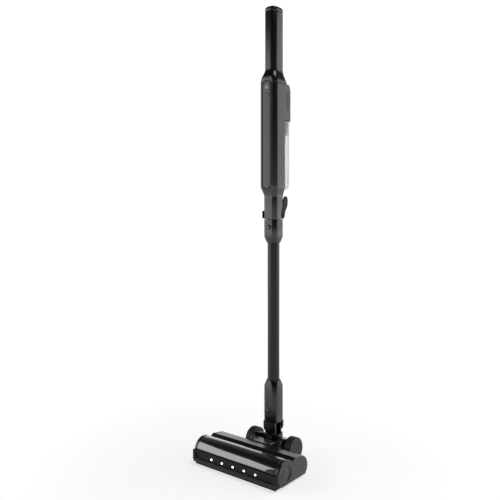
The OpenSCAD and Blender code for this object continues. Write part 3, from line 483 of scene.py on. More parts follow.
def bezel(x):
    """Ring around one lamp: a small circle of 0.5 swept about Y at a radius of 2.7."""
    a = np.linspace(0, TAU, 12, endpoint=False)
    turn = np.linspace(0, TAU, 40, endpoint=False)
    r = (2.7 + 0.55 * np.cos(a))[:, None] * MM
    y = (-157.2 + 0.55 * np.sin(a))[:, None] * MM + TUBE_Y + np.zeros_like(turn)[None, :]
    grid = np.stack([x + r * np.sin(turn), y, 22.6 * MM + r * np.cos(turn)], axis=-1)
    return skin("bezel", grid, wrap_rows=True, wrap_cols=True)


def saddle():
    """Yoke's scooped saddle: each row across X is a loop whose top is
    z = middle + (side - middle) * |u|^2.6, falling away over the last tenth, and whose bottom
    is flat; the half width grows from the front edge to the arms as a smoothstep."""
    v = np.linspace(0, 1, 22)[:, None]
    u = np.linspace(1, -1, 41)[None, :]
    ease = v * v * (3 - 2 * v)
    half = 31 + (46.6 - 31) * ease
    y = -57 + (57 - 23.5) * v + 0 * u
    middle = 50.6 - 4.6 * v
    side = 52.0 + 7.6 * v
    edge = np.clip((np.abs(u) - 0.9) / 0.1, 0, 1)
    top = middle + (side - middle) * np.abs(u) ** 2.6 - 2.2 * edge ** 2
    deck = 23 + np.sqrt(np.clip(26.25 ** 2 - (y + 62.5) ** 2, 0, None))
    under = np.minimum(np.maximum(deck, 41.5 + 0 * u), top - 0.4)
    x = half * u
    loop_top = np.stack([x, y, top], axis=-1)
    loop_low = np.stack([x[:, ::-1], y[:, ::-1], under[:, ::-1]], axis=-1)
    grid = np.concatenate([loop_top, loop_low], axis=1) * MM
    grid[..., 1] += TUBE_Y
    return skin("saddle", grid, wrap_cols=True, caps=True)


def yoke_arm(s):
    """One arm: boss round the axle drawn out to the saddle, carried across with a rounded rim."""
    outline = np.concatenate([arc(0, 29.5, 21, -150, 62, 40), arc(-22, 55, 2.6, 62, 125, 8), arc(-31.5, 42, 2, 125, 200, 6)])
    x0, x1 = (30.7, 46.6) if s > 0 else (-46.6, -30.7)
    return extrude_x("arm", at_stick(outline), x0 * MM, x1 * MM, 1.8 * MM)


def wheel_pair(s):
    """A wheel's tread and its hub, both turned about X: the tread is a rounded-square section,
    the hub a flat outer disc with a stepped rim and an open, dished inner side."""
    out, inn = (high("tyre_right")[0], low("tyre_right")[0])
    r = WHEEL_Z / MM
    side = "right" if s > 0 else "left"
    a = np.linspace(0, TAU / 4, 6)
    tr = np.concatenate([[25.6], r - 2.4 + 2.4 * np.sin(a), r - 1.2 + 1.2 * np.cos(a), [25.6]]) * MM
    tx = np.concatenate([[out], out - 2.4 * MM * (1 - np.cos(a)), inn + 1.2 * MM * (1 - np.sin(a)), [inn]])
    tread = lathe("tread_" + side, tr[::-1] if s > 0 else tr, (tx[::-1] if s > 0 else -tx), "X",
                  (0, TUBE_Y, WHEEL_Z), 112)
    hr = np.array([4.2, 9, 9, 23, 24.2, 25.5, 25.5, 25.2, 24.7, 24.2, 22.6, 22.2, 21.6, 5.6, 5.2, 0.02]) * MM
    hx = np.array([inn + 1.2 * MM, inn + 1.2 * MM, inn + 9 * MM, inn + 9 * MM, inn + 2 * MM, inn + 2 * MM,
                   out - 0.9 * MM, out - 0.5 * MM, out - 0.3 * MM, out - 0.3 * MM, out - 0.35 * MM,
                   out - 0.9 * MM, out - 1.1 * MM, out - 1.1 * MM, out - 0.8 * MM, out - 0.8 * MM])
    hub = lathe("hub_" + side, hr if s > 0 else hr[::-1], hx if s > 0 else -hx[::-1], "X", (0, TUBE_Y, WHEEL_Z), 96)
    return sharpen(tread, 60), sharpen(hub, 30)


# ---------- stick ----------

# Heights in millimetres, from the frame
Z_TUBE = float(high("swivel_socket")[2]) / MM
Z_UP = float(low("up_coupling")[2]) / MM
Z_NECK = float(low("main_shell")[2]) / MM
Z_TOP = float(high("main_shell")[2]) / MM
Z_CUP, Z_LID = float(low("dust_cup")[2]) / MM, float(high("dust_cup")[2]) / MM
Z_CAP, Z_CROWN = float(high("grip_shell")[2]) / MM, float(high("battery_pack")[2]) / MM
Z_PANEL0, Z_PANEL1 = float(low("front_panel")[2]) / MM, float(high("front_panel")[2]) / MM
HALF_BODY = float(high("main_shell")[0]) / MM
GRIP_Z = float(low("battery_pack")[2]) / MM + 17
CUP_C = (CUP_Y - TUBE_Y) / MM
CUP_R = float(high("dust_cup")[0]) / MM
HALF_MOON_R = float(high("grip_button_right")[1] - low("grip_button_right")[1]) / 2 / MM
HALF_MOON_Z = float(high("grip_button_right")[2]) / MM


def placed(grid):
    """Millimetres about the stick's axis, moved into the frame."""
    return np.asarray(grid, float) * MM + np.array([0.0, TUBE_Y, 0.0])


def stacked(name, rows):
    """An upright solid from rows of (z, width, depth, radius, y), in millimetres about the
    stick's axis: a rounded rectangle at each height, with a face across both ends."""
    z, w, d, r, y = np.array(rows, float).T
    return column(name, z * MM, w * MM, d * MM, r * MM, 0.0, y * MM + TUBE_Y)


def cut(piece, cutter):
    """Takes the cutter's solid out of the piece for good, and removes the cutter."""
    mod = piece.modifiers.new("cut", "BOOLEAN")
    mod.operation = "DIFFERENCE"
    mod.solver = "EXACT"
    mod.object = cutter
    bpy.context.view_layer.update()
    made = bpy.data.meshes.new_from_object(piece.evaluated_get(bpy.context.evaluated_depsgraph_get()))
    piece.modifiers.remove(mod)
    piece.data = made
    bpy.data.objects.remove(cutter)
    return piece


def plug(radius, y0, y1, z, x=0.0):
    """A round cutter along Y, in millimetres about the stick's axis."""
    return lathe("plug", np.array([radius, radius]) * MM, np.array([y0, y1]) * MM + TUBE_Y, "Y",
                 (x * MM, 0, z * MM), 64)


def round_button(name, radius, y_face, z, depth, dish):
    """Button turned about Y: a quarter-circle rim of 1 mm, a groove, and a domed middle that
    stands dish millimetres over the rim."""
    a = np.linspace(TAU / 4, 0, 6)
    r = np.concatenate([[0.02, radius * 0.35, radius * 0.6, radius * 0.74, radius * 0.8, radius * 0.84, radius * 0.88],
                        radius - 1 + np.cos(a) * 1.0, [radius]])
    y = np.concatenate([[-dish, -dish * 0.85, -dish * 0.5, -dish * 0.1, 0.35, 0.35, 0.02],
                        1 - np.sin(a) * 1.0, [depth]]) + y_face
    return sharpen(lathe(name, r * MM, y * MM + TUBE_Y, "Y", (0, 0, z * MM), 72), 50)


def lower_socket():
    """Lower coupling: a rounded square post on two round cheeks, its top a cone that narrows from
    40 to 34, with the tube's round socket sunk in it."""
    post = stacked("post", [(87, 38.4, 38.4, 11.2, 0), (87.3, 39.4, 39.4, 11.7, 0), (88.2, 40, 40, 12, 0),
                            (128.3, 40, 40, 12, 0), (128.6, 39.4, 39.4, 11.7, 0), (129.2, 39.4, 39.4, 11.7, 0),
                            (129.5, 40, 40, 12, 0), (Z_TUBE - 13.6, 40, 40, 12, 0), (Z_TUBE - 13, 39.7, 39.7, 12.2, 0),
                            (Z_TUBE - 0.9, 34.6, 34.6, 16.4, 0), (Z_TUBE - 0.3, 34.1, 34.1, 16.6, 0),
                            (Z_TUBE, 33.4, 33.4, 16.4, 0), (Z_TUBE, 30.6, 30.6, 15.3, 0),
                            (Z_TUBE - 0.3, 30.2, 30.2, 15.1, 0), (Z_TUBE - 28, 30.2, 30.2, 15.1, 0)])
    cut(post, plug(6.9, -21, -15.5, 116))
    a = np.radians(np.linspace(0, 180, 40))
    outline = np.concatenate([np.stack([17.5 * np.cos(a), 76 - 17.5 * np.sin(a)], axis=-1), [[-17.5, 88], [17.5, 88]]])
    cheeks = []
    for s in (-1, 1):
        y = np.array([13.1, 13.4, 18.6, 19.4, 19.8]) * s
        inset = np.array([0.3, 0, 0, 0.5, 1.4])
        mid = np.array([0, 78])
        rows = [np.column_stack([(mid + (outline - mid) * (1 - i / 17.5))[:, 0], np.full(len(outline), yy),
                                 (mid + (outline - mid) * (1 - i / 17.5))[:, 1]]) for yy, i in zip(y, inset)]
        cheeks.append(skin("cheek", placed(np.stack(rows)), wrap_cols=True, caps=True, flip=s < 0))
    return sharpen(join("lower_socket_shell", [post] + cheeks), 35)


def stick_tube():
    """Aluminium tube: outer and inner walls and rolled lips, turned about Z."""
    z0, z1 = float(low("tube")[2]) / MM, float(high("tube")[2]) / MM
    r = np.array([13.8, 15, 15, 15, 15, 13.8]) * MM
    z = np.array([z0, z0 + 0.2, z0 + 1, z1 - 1, z1 - 0.2, z1]) * MM
    grid_r, grid_z = np.concatenate([r, [13.8 * MM] * 2]), np.concatenate([z, [(z1 - 0.2) * MM, (z0 + 0.2) * MM]])
    turn = np.linspace(0, TAU, 96, endpoint=False)[None, :]
    grid = np.stack([grid_r[:, None] * np.cos(turn), TUBE_Y + grid_r[:, None] * np.sin(turn),
                     grid_z[:, None] + 0 * turn], axis=-1)
    return sharpen(skin("tube_wall", grid, wrap_rows=True, wrap_cols=True), 50)


def upper_socket():
    """Upper coupling: a rounded square post, chamfered at the foot, with the spigot that goes up
    into the neck."""
    top = float(high("up_coupling")[2]) / MM
    post = stacked("upper_socket_shell", [
        (Z_UP, 30.4, 30.4, 15.2, 0), (Z_UP, 33.4, 33.4, 16.4, 0), (Z_UP + 0.4, 34.2, 34.2, 16.6, 0),
        (Z_UP + 14.4, 39.6, 39.6, 12.3, 0), (Z_UP + 15.4, 40, 40, 12, 0), (Z_NECK - 1.2, 40, 40, 12, 0), (Z_NECK - 0.5, 39.3, 39.3, 11.7, 0),
        (Z_NECK - 0.4, 31.6, 31.6, 15.8, 0), (top - 0.6, 31.6, 31.6, 15.8, 0), (top, 30.6, 30.6, 15.3, 0),
        (top, 26, 26, 13, 0), (top - 25, 26, 26, 13, 0)])
    return sharpen(cut(post, plug(6.9, -21, -15.5, (low("up_button")[2] + high("up_button")[2]) / 2 / MM)), 35)


# ---------- hand unit ----------

def body_section(half, front, corner, back, n=16):
    """Half-open body outline as one closed loop in (X, Y): side walls to back, two front corners
    of radius corner, and behind them an arc that hugs the cup, 0.8 outside it."""
    a = np.radians(np.linspace(0, -90, n))
    right = np.stack([half - corner + corner * np.cos(a), -front + corner + corner * np.sin(a)], axis=-1)
    inner = half - 2.4
    x = np.linspace(-inner, inner, 2 * n)
    reach = CUP_R + 0.8
    hug = np.stack([x, CUP_C - np.sqrt(reach ** 2 - x ** 2)], axis=-1)
    hug[:, 1] = np.minimum(hug[:, 1], back - 0.3)
    left = right[::-1] * np.array([-1, 1])
    return np.concatenate([[[half, back]], right, left, [[-half, back], [-inner, back]], hug, [[inner, back]]])[::-1]


def front_shell():
    """Front of the hand unit: the body's section carried up, its width, front and corner growing
    over the flare as a smoothstep, then easing in over the last 2 mm."""
    t = np.linspace(0, 1, 14)
    ease = t * t * (3 - 2 * t)
    z = np.concatenate([644 + 27 * t, [760, Z_TOP - 2.5, Z_TOP - 1.2, Z_TOP - 0.4, Z_TOP]])
    z += Z_NECK - 588
    z[-5:] -= Z_NECK - 588
    half = np.concatenate([20 + (HALF_BODY - 20) * ease, HALF_BODY - np.array([0, 0, 0.15, 0.5, 1.0])])
    front = np.concatenate([20 + 7 * ease, 27 - np.array([0, 0, 0.15, 0.5, 1.0])])
    grid = np.stack([np.column_stack([body_section(h, f, 12, 12.6), np.full(2 * 16 * 2 + 4, zz)])
                     for h, f, zz in zip(half, front, z)])
    return grid


def neck_rows():
    """Neck below the body: a 40 square post of radius 12 that opens under the cup as the flare
    does, hollow from below for the coupling's spigot."""
    t = np.linspace(0, 0.62, 8)
    ease = t * t * (3 - 2 * t)
    rows = [(Z_NECK + 30.6, 32.4, 32.4, 16.2, 0), (Z_NECK + 0.4, 32.4, 32.4, 16.2, 0), (Z_NECK, 32.8, 32.8, 16.4, 0),
            (Z_NECK, 38.8, 38.8, 11.6, 0), (Z_NECK + 0.6, 39.7, 39.7, 11.9, 0), (Z_NECK + 1.4, 40, 40, 12, 0),
            (Z_NECK + 55, 40, 40, 12, 0)]
    for k, e in zip(t, ease):
        f, b = 20 + 7 * e - 0.05, 20 - 5 * e
        rows.append((Z_NECK + 56 + 27 * k, 40 + 12 * e - 0.1, f + b, 12, (b - f) / 2))
    rows.append((rows[-1][0] + 0.3, rows[-1][1] - 2, rows[-1][2] - 2, 11, rows[-1][4]))
    return rows


def shoulder_and_grip():
    """Shoulder and grip in one: from the body's outline its sides ease in as a cosine, its front
    stays upright for the first third and then eases back, and its back falls away fast at first,
    to the grip's rounded rectangle; the battery's bay is sunk in its top."""
    z0 = float(low("grip_shell")[2]) / MM
    rise = GRIP_Z - z0
    t = np.linspace(0, 1, 26)
    late = np.clip((t - 0.3) / 0.7, 0, 1)
    front = 27 - 6.5 * (1 - np.cos(np.pi * late)) / 2
    back = 24.5 + 5.5 * (1 - np.clip(t / 0.55, 0, 1)) ** 1.4
    width = 52 - 16 * (1 - np.cos(np.pi * t)) / 2
    corner = 12 + 2 * t
    rows = [(z0, 50.6, 55.6, 11.5, 1.5), (z0 + 0.3, 51.6, 56.6, 11.9, 1.5)]
    rows += [(z0 + 0.8 + (rise - 0.8) * k, w, f + b, c, (b - f) / 2)
             for k, w, f, b, c in zip(t, width, front, back, corner)]
    rows += [(Z_CAP - 1.2, 36, 45, 14, 2), (Z_CAP - 0.4, 35.5, 44.5, 13.8, 2), (Z_CAP, 34.6, 43.6, 13.4, 2),
             (Z_CAP, 31.8, 40.8, 12, 2), (GRIP_Z - 18, 31.6, 40.6, 11.8, 2)]
    return stacked("shoulder_and_grip", rows)


def battery_case():
    """Battery: a case that fills the bay and a domed cap over the grip, whose edge is a
    quarter ellipse of 4.2 by 5.8 and whose crown rises a further 1 mm as a parabola."""
    z0 = float(low("battery_pack")[2]) / MM
    rows = [(z0, 27, 37, 8, 2), (z0 + 1, 28.4, 39, 9.6, 2), (Z_CAP - 0.5, 28.4, 39.4, 10.6, 2),
            (Z_CAP + 0.3, 28.4, 39.4, 10.6, 2), (Z_CAP + 0.3, 34.8, 43.8, 13.4, 2), (Z_CAP + 0.7, 35.7, 44.7, 13.9, 2),
            (Z_CAP + 1.3, 36, 45, 14, 2), (Z_CROWN - 7, 36, 45, 14, 2)]
    for a in np.linspace(0, TAU / 4, 9)[1:]:
        taken = 2 * 4.2 * (1 - np.cos(a))
        rows.append((Z_CROWN - 7 + 4.2 * np.sin(a) + 1.6 * (1 - np.cos(a)), 36 - taken, 45 - taken, 14 - taken / 2, 2))
    for k in np.linspace(0.12, 0.97, 8):
        taken = 8.4 + 27.6 * k
        rows.append((Z_CROWN - 1.2 + 1.1 * (1 - (1 - k) ** 2), 36 - taken, 45 - taken, max(14 - taken / 2, 0.4), 2))
    return sharpen(stacked("battery_case_and_cap", rows), 40)


def half_moon(x0, x1, grow=0.0):
    """A half-moon solid: a half circle below a flat top, carried from x0 to x1 with a rounded rim."""
    zc, r = HALF_MOON_Z, HALF_MOON_R + grow
    outline = np.concatenate([arc(2, zc, r, 180, 360, 40), [[2 + r - 0.3, zc + 0.3], [2 - r + 0.3, zc + 0.3]]])
    return extrude_x("half_moon", at_stick(outline), x0 * MM, x1 * MM, 0.0 if grow else 0.5 * MM)


def stadium(half, z0, z1, n=20):
    """A slot outline in (X, Z): straight sides and half-circle ends, anticlockwise from the
    right as the front is looked at."""
    a = np.linspace(0, np.pi, n)
    top = np.stack([half * np.cos(a), z1 - half + half * np.sin(a)], axis=-1)
    low_end = np.stack([-half * np.cos(a), z0 + half - half * np.sin(a)], axis=-1)
    return np.concatenate([top, low_end])


def slot_pad(name, half, z0, z1, y_back, y_face, crown, fillet):
    """A slot-shaped pad facing -Y: its rim a quarter circle of the fillet, its face bowed by
    crown across X."""
    a = np.linspace(0, TAU / 4, 6)
    inset = np.concatenate([[0], fillet * (1 - np.cos(a)), np.array([0.2, 0.4, 0.6, 0.8, 0.97]) * (half - fillet) + fillet])
    y = np.concatenate([[y_back], y_face + fillet * (1 - np.sin(a)), np.full(5, y_face)])
    rows = []
    for i, yy in zip(inset, y):
        xz = stadium(max(half - i, 0.02), z0 + i, z1 - i)
        bow = crown * (1 - (xz[:, 0] / half) ** 2) * (i > 0)
        rows.append(np.column_stack([xz[:, 0], yy - bow, xz[:, 1]]))
    return sharpen(skin(name, placed(np.stack(rows)), wrap_cols=True, caps=True), 50)


def wide_slot(half, z0, z1, n=14):
    """A slot outline lying across X, anticlockwise as the front is looked at."""
    r, zc = (z1 - z0) / 2, (z0 + z1) / 2
    a = np.linspace(-np.pi / 2, np.pi / 2, n)
    right = np.stack([half - r + r * np.cos(a), zc + r * np.sin(a)], axis=-1)
    return np.concatenate([right, np.array([0, 2 * zc]) + right * np.array([-1, -1])])


def wide_pad(name, half, z0, z1, y_back, y_face, fillet):
    """A flat pad on a wide slot outline, facing -Y, its rim a quarter circle of the fillet."""
    a = np.linspace(0, TAU / 4, 6)
    inset = np.concatenate([[0], fillet * (1 - np.cos(a)), [fillet + 0.4]])
    y = np.concatenate([[y_back], y_face + fillet * (1 - np.sin(a)), [y_face]])
    rows = [np.column_stack([o[:, 0], np.full(len(o), yy), o[:, 1]])
            for i, yy in zip(inset, y) for o in [wide_slot(half - i, z0 + i, z1 - i)]]
    return sharpen(skin(name, placed(np.stack(rows)), wrap_cols=True, caps=True), 50)


def mark_ring(x, z, y, radius=1.1):
    """A tiny raised ring on a button: a circle of 0.2 swept about Y."""
    a = np.linspace(0, TAU, 8, endpoint=False)
    turn = np.linspace(0, TAU, 32, endpoint=False)
    r = (radius + 0.22 * np.cos(a))[:, None]
    grid = np.stack([x + r * np.sin(turn), y + 0.22 * np.sin(a)[:, None] + 0 * turn[None], z + r * np.cos(turn)], axis=-1)
    return skin("mark", placed(grid), wrap_rows=True, wrap_cols=True)


def trim_frame(name, half, z0, z1, profile):
    """A closed (out, y) profile carried round a slot outline along its outward normal."""
    path = stadium(half, z0, z1, 28)
    tangent = np.roll(path, -1, 0) - np.roll(path, 1, 0)
    tangent /= np.linalg.norm(tangent, axis=1, keepdims=True)
    normal = np.stack([tangent[:, 1], -tangent[:, 0]], axis=-1)
    profile = np.asarray(profile, float)
    xz = path[:, None] + normal[:, None] * profile[None, :, :1]
    y = np.broadcast_to(profile[None, :, 1], xz.shape[:2])
    grid = np.stack([xz[..., 0], y, xz[..., 1]], axis=-1)
    return sharpen(skin(name, placed(grid), wrap_rows=True, wrap_cols=True), 45)


def dust_cup():
    """Clear cup: an outer wall with a foot rounded on a quarter circle of 15, over a rolled lip,
    and down the inner wall, all turned about Z."""
    a = np.linspace(TAU / 4, 0, 12)
    wall = 1.6
    r = np.concatenate([CUP_R - 15 + 15 * np.cos(a), [CUP_R, CUP_R - 0.3, CUP_R - wall + 0.3, CUP_R - wall],
                        (CUP_R - 15 + (15 - wall) * np.cos(a))[::-1]])
    z = np.concatenate([Z_CUP + 15 - 15 * np.sin(a), [Z_LID - 0.4, Z_LID, Z_LID, Z_LID - 0.4],
                        (Z_CUP + 15 - (15 - wall) * np.sin(a))[::-1]])
    return sharpen(lathe("clear_dust_cup", r * MM, z * MM, "Z", (0, CUP_Y, 0), 120), 50)


def filter_basket():
    """Frame of the fine filter: a lid that closes the cup over a ribbed basket, turned about Z."""
    r = np.array([0.02, 21, 23, 23.4, 23.4, 23.9, 23.9, 23.4, 23.4, 23.4, 23.9, 24.1, 24.1, 23.6, 0.02])
    z = np.array([-33, -33, -32.7, -31.8, -24, -23.4, -21, -20.4, -8.2, -5.4, -4.4, -4.0, -0.6, -0.1, -0.1]) + Z_LID
    return sharpen(lathe("filter_basket", r * MM, z * MM, "Z", (0, CUP_Y, 0), 96), 40)


def side_pocket():
    """Cutter for the ridged pad's pocket: the button's box, grown by the gap and its travel."""
    (x0, y0, z0), (x1, y1, z1) = low("side_button"), high("side_button")
    gap = 0.3 * MM
    outline = np.array([(y0 - gap, z0 - gap), (y1 + gap, z0 - gap), (y1 + gap, z1 + gap), (y0 - gap, z1 + gap)])
    return extrude_x("pocket", outline, x0 - 1 * MM, x1 + 1.3 * MM)


def lever_cheek(s):
    """One cheek of the cup's lever: a blade whose polygon is rounded by cutting every corner at
    a quarter and three quarters of its sides four times, with a grooved boss on the pivot."""
    outline = np.array([(9, 590.5), (16.5, 590.5), (20.5, 596), (22, 607), (32.5, 621), (34, 640), (28, 647.5),
                        (19, 645.5), (12, 630), (8.5, 617), (4.5, 606), (4.5, 596)], float)
    outline[:, 1] += Z_NECK - 588
    for _ in range(4):
        ahead = np.roll(outline, -1, 0)
        outline = np.stack([outline * 0.75 + ahead * 0.25, outline * 0.25 + ahead * 0.75], axis=1).reshape(-1, 2)
    x0, x1 = (17.2, 20.4) if s > 0 else (-20.4, -17.2)
    blade = extrude_x("blade", at_stick(outline), x0 * MM, x1 * MM, 0.7 * MM)
    r = np.array([6.0, 6.0, 5.6, 4.4, 4.1, 3.6, 3.3, 0.02]) * MM
    x = np.array([20.0, 21.0, 21.3, 21.3, 20.8, 20.8, 21.2, 21.3]) * MM
    centre = (0, 13 * MM + TUBE_Y, (Z_NECK + 10) * MM)
    boss = lathe("boss", r if s > 0 else r[::-1], x if s > 0 else -x[::-1], "X", centre, 48)
    return [blade, boss]


def rib_pad():
    """Ridged push pad on the neck's left face: a grid over (Y, Z) whose height is a rounded
    box with a sine of 5 mm pitch on it."""
    (x0, y0, z0), (x1, y1, z1) = low("side_button"), high("side_button")
    v, u = np.linspace(0, 1, 40)[:, None], np.linspace(0, 1, 14)[None, :]
    edge = np.minimum(np.minimum(u, 1 - u) * 10, np.minimum(v, 1 - v) * 19) * MM
    rise = np.clip(edge / (1.2 * MM), 0, 1)
    rise = np.sqrt(1 - (1 - rise) ** 2)
    depth = (x1 - x0) * 0.42
    bump = 0.45 * MM * (np.sin(v * 21 * TAU / 5.2) + 1) / 2
    x = x0 + 0.55 * MM + depth - rise * (depth + 0 * bump) - rise * bump
    top = np.stack([x, y0 + (y1 - y0) * u + 0 * v, z0 + (z1 - z0) * v + 0 * u], axis=-1)
    piece = skin("ridged_pad", top, flip=True)
    return thicken(piece, 1.4 * MM)


# ---------- sizes and colours ----------

def hue(label, note, hexcode):
    """A colour a user can change, its default given as sRGB hex."""
    return bpy.props.FloatVectorProperty(name=label, description=note, subtype="COLOR", size=4, min=0, max=1,
                                         default=linear(hexcode))


class VacuumSizes(bpy.types.PropertyGroup):
    """Sizes of the fine details; everything larger is read from the frame."""
    panel_crown: bpy.props.FloatProperty(name="Panel crown", description="How far the front panel bows out",
                                         default=0.5 * MM, min=0, max=2 * MM, unit="LENGTH")
    window_wall: bpy.props.FloatProperty(name="Window wall", description="Thickness of the brush window",
                                         default=2.2 * MM, min=1 * MM, max=4 * MM, unit="LENGTH")
    edge: bpy.props.FloatProperty(name="Edge radius", description="Rounding of the moulded edges",
                                  default=0.5 * MM, min=0.1 * MM, max=2 * MM, unit="LENGTH")
    tuft_rows: bpy.props.IntProperty(name="Tuft rows", description="Rows of tufts round the brush", default=4, min=2, max=8)


class VacuumColours(bpy.types.PropertyGroup):
    """Colours of the finishes."""
    body: hue("Body", "Moulded black plastic", "#0d0d0e")
    nozzle: hue("Nozzle", "Charcoal plastic of the nozzle's covers", "#111112")
    panel: hue("Panel", "Glossy front panel", "#0c0c0d")
    trim: hue("Trim", "Painted grey trim and lever", "#3c3e41")
    button: hue("Backlit button", "Power button and the mode marks", "#8d9093")
    window: hue("Window", "Smoked brush window", "#1b1c1f")
    lamp: hue("Lamp", "Lit lamp lenses", "#ffffff")
    cup: hue("Cup", "Clear dust cup", "#f1f2f3")
    filter: hue("Filter frame", "Milky grey filter frame", "#a9adb1")
    tube: hue("Tube", "Anodised tube", "#131314")
    steel: hue("Steel", "Pins, axle and springs", "#c3c5c8")
    rubber: hue("Rubber", "Skirt, seals and tyres", "#0e0e0f")
    bristle: hue("Bristle", "Brush tufts", "#2c2e33")
    board: hue("Board", "Circuit boards", "#1d5a38")
    paper: hue("Filter paper", "Pleated filter", "#efede5")
    wrap: hue("Cell wrap", "Sleeves of the battery's cells", "#2f6fb0")


# Which finish each carried-over CAD node takes
CAD_FINISHES = {
    "black_plastic": ["base_housing", "sole_plate", "air_duct", "inlet_duct", "charge_socket", "neck_barrel",
                      "brush_core", "motor_mounts", "fan", "rear_shell"],
    "soft_rubber": ["neck_hose", "cup_seal", "drive_belt"],
    "steel": ["axle", "neck_pins", "lever_pins", "sole_screws", "low_spring", "up_spring", "brush_motor", "fan_motor",
              "motor_pulley", "brush_pulley"],
    "circuit": ["lamp_board", "circuit_board"],
    "filter_media": ["fine_filter", "exhaust_filter"],
    "cell_wrap": ["battery_cells"],
    }

FINISH = {}


def fit(piece, slot, body, *nodes):
    """Gives a piece its finish, its body, and the CAD nodes that it stands for."""
    piece.data.materials.clear()
    piece.data.materials.append(FINISH[slot])
    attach(piece, body)
    if nodes:
        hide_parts(*nodes)
    return piece


class VACUUM_OT_finishes(bpy.types.Operator):
    """Makes every finish and gives the carried-over CAD nodes theirs"""
    bl_idname = "vacuum.finishes"
    bl_label = "Finishes"

    def execute(self, context):
        FINISH.update(make_finishes(context.scene.vacuum_colours))
        for slot, names in CAD_FINISHES.items():
            for name in names:
                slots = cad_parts[name].data.materials
                slots.clear()
                slots.append(FINISH[slot])
        bevel(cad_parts["rear_shell"], 0.6 * MM, 2, 40)
        return {"FINISHED"}


class VACUUM_OT_nozzle_covers(bpy.types.Operator):
    """Builds the brush window, deck, end caps and the brush's end disc"""
    bl_idname = "vacuum.nozzle_covers"
    bl_label = "Nozzle covers"

    def execute(self, context):
        sizes = context.scene.vacuum_sizes
        wall = sizes.window_wall / MM
        x = CAP_IN - 0.3 * MM
        pane = np.concatenate([arc(-125, 18.5, 39.5, 47.9, 88, 16), arc(-125, 29, 29, 90, 170, 40)])
        window = extrude_x("brush_window_pane", at_stick(band(pane, wall)), -x, x, sizes.edge)
        fit(sharpen(window, 40), "tinted_window", "nozzle", "brush_window")
        deck = extrude_x("rear_deck_shell", at_stick(band(deck_path(), 2.2)), -x, x, sizes.edge)
        fit(sharpen(deck, 40), "satin_plastic", "nozzle", "deck_cover")
        fit(side_cap(1), "satin_plastic", "nozzle", "side_cap_right")
        fit(side_cap(-1), "satin_plastic", "nozzle", "side_cap_left")
        fit(end_disc("brush_end_disc", 1), "satin_plastic", "brush_cap", "brush_end_cap")
        fit(end_disc("dummy_end_disc", -1), "satin_plastic", "nozzle")
        return {"FINISHED"}


class VACUUM_OT_bumper(bpy.types.Operator):
    """Builds the bumper with its lamp channel, the lamps and the soft skirt"""
    bl_idname = "vacuum.bumper"
    bl_label = "Bumper and lamps"

    def execute(self, context):
        half = float(high("front_bumper")[0])
        block = 8 * MM
        bar = extrude_x("bar", bumper_outline(True), block - half, half - block)
        ends = [extrude_x("end", bumper_outline(False), *sorted((s * half, s * (half - block - 0.1 * MM))), 0.5 * MM)
                for s in (-1, 1)]
        fit(sharpen(join("bumper_bar", [bar] + ends), 40), "black_plastic", "nozzle", "front_bumper").data.materials[0] = FINISH["soft_rubber"]
        xs = (np.arange(5) - 2) * 32.7 * MM
        fit(join("lamp_domes", [lamp(v) for v in xs]), "lamp_lens", "nozzle", "lamp_lenses")
        fit(join("lamp_bezels", [bezel(v) for v in xs]), "satin_plastic", "nozzle")
        (x0, y0, z0), (x1, y1, z1) = low("front_skirt"), high("front_skirt")
        u, v = np.linspace(x0, x1, 160)[:, None], np.linspace(0, 1, 9)[None, :]
        ripple = 0.25 * MM * np.sin(u / (2.6 * MM) * TAU) * (1 - v)
        front = np.stack([u + 0 * v, y0 + 0.5 * MM + ripple, z0 + (z1 - z0) * v + 0 * u], axis=-1)
        back = np.stack([u + 0 * v, y0 + 2.6 * MM + ripple, z0 + (z1 - z0) * v + 0 * u], axis=-1)
        skirt = skin("soft_skirt", np.concatenate([front, back[:, ::-1]], axis=1), wrap_cols=True, caps=True, flip=True)
        fit(sharpen(skirt, 50), "soft_rubber", "nozzle", "front_skirt")
        return {"FINISHED"}


class VACUUM_OT_brush(bpy.types.Operator):
    """Builds the brush's tufts, in rows that wind in towards the middle"""
    bl_idname = "vacuum.brush"
    bl_label = "Brush tufts"

    def execute(self, context):
        rows = context.scene.vacuum_sizes.tuft_rows
        x0, x1 = float(low("brush_bristles")[0]), float(high("brush_bristles")[0])
        reach = float(high("brush_bristles")[2] - low("brush_bristles")[2]) / 2
        u, v = np.linspace(0, 1, 150)[:, None], np.linspace(0, 1, 7)[None, :]
        fins = []
        for k in range(rows):
            x = x0 + (x1 - x0) * u + 0 * v
            turn = k * TAU / rows + 1.6 * np.abs(2 * u - 1)
            comb = reach - 0.0002 - 1.1 * MM * (np.sin(u * 150 / 2 * np.pi) ** 2)
            r = 12.5 * MM + (comb - 12.5 * MM) * v
            spread = (2.2 - 0.9 * v) * MM / r / 2
            side = [np.stack([x, BRUSH_Y + r * np.cos(turn + e * spread), BRUSH_Z + r * np.sin(turn + e * spread)], axis=-1)
                    for e in (-1, 1)]
            fins.append(skin("fin", np.concatenate([side[0], side[1][:, ::-1]], axis=1), wrap_cols=True, caps=True))
        fit(join("brush_tufts", fins), "bristle", "brush", "brush_bristles")
        return {"FINISHED"}


class VACUUM_OT_yoke(bpy.types.Operator):
    """Builds the scooped yoke that holds the axle"""
    bl_idname = "vacuum.yoke"
    bl_label = "Yoke"

    def execute(self, context):
        piece = join("yoke_saddle", [saddle(), yoke_arm(1), yoke_arm(-1)])
        fit(sharpen(piece, 40), "satin_plastic", "nozzle", "yoke")
        return {"FINISHED"}


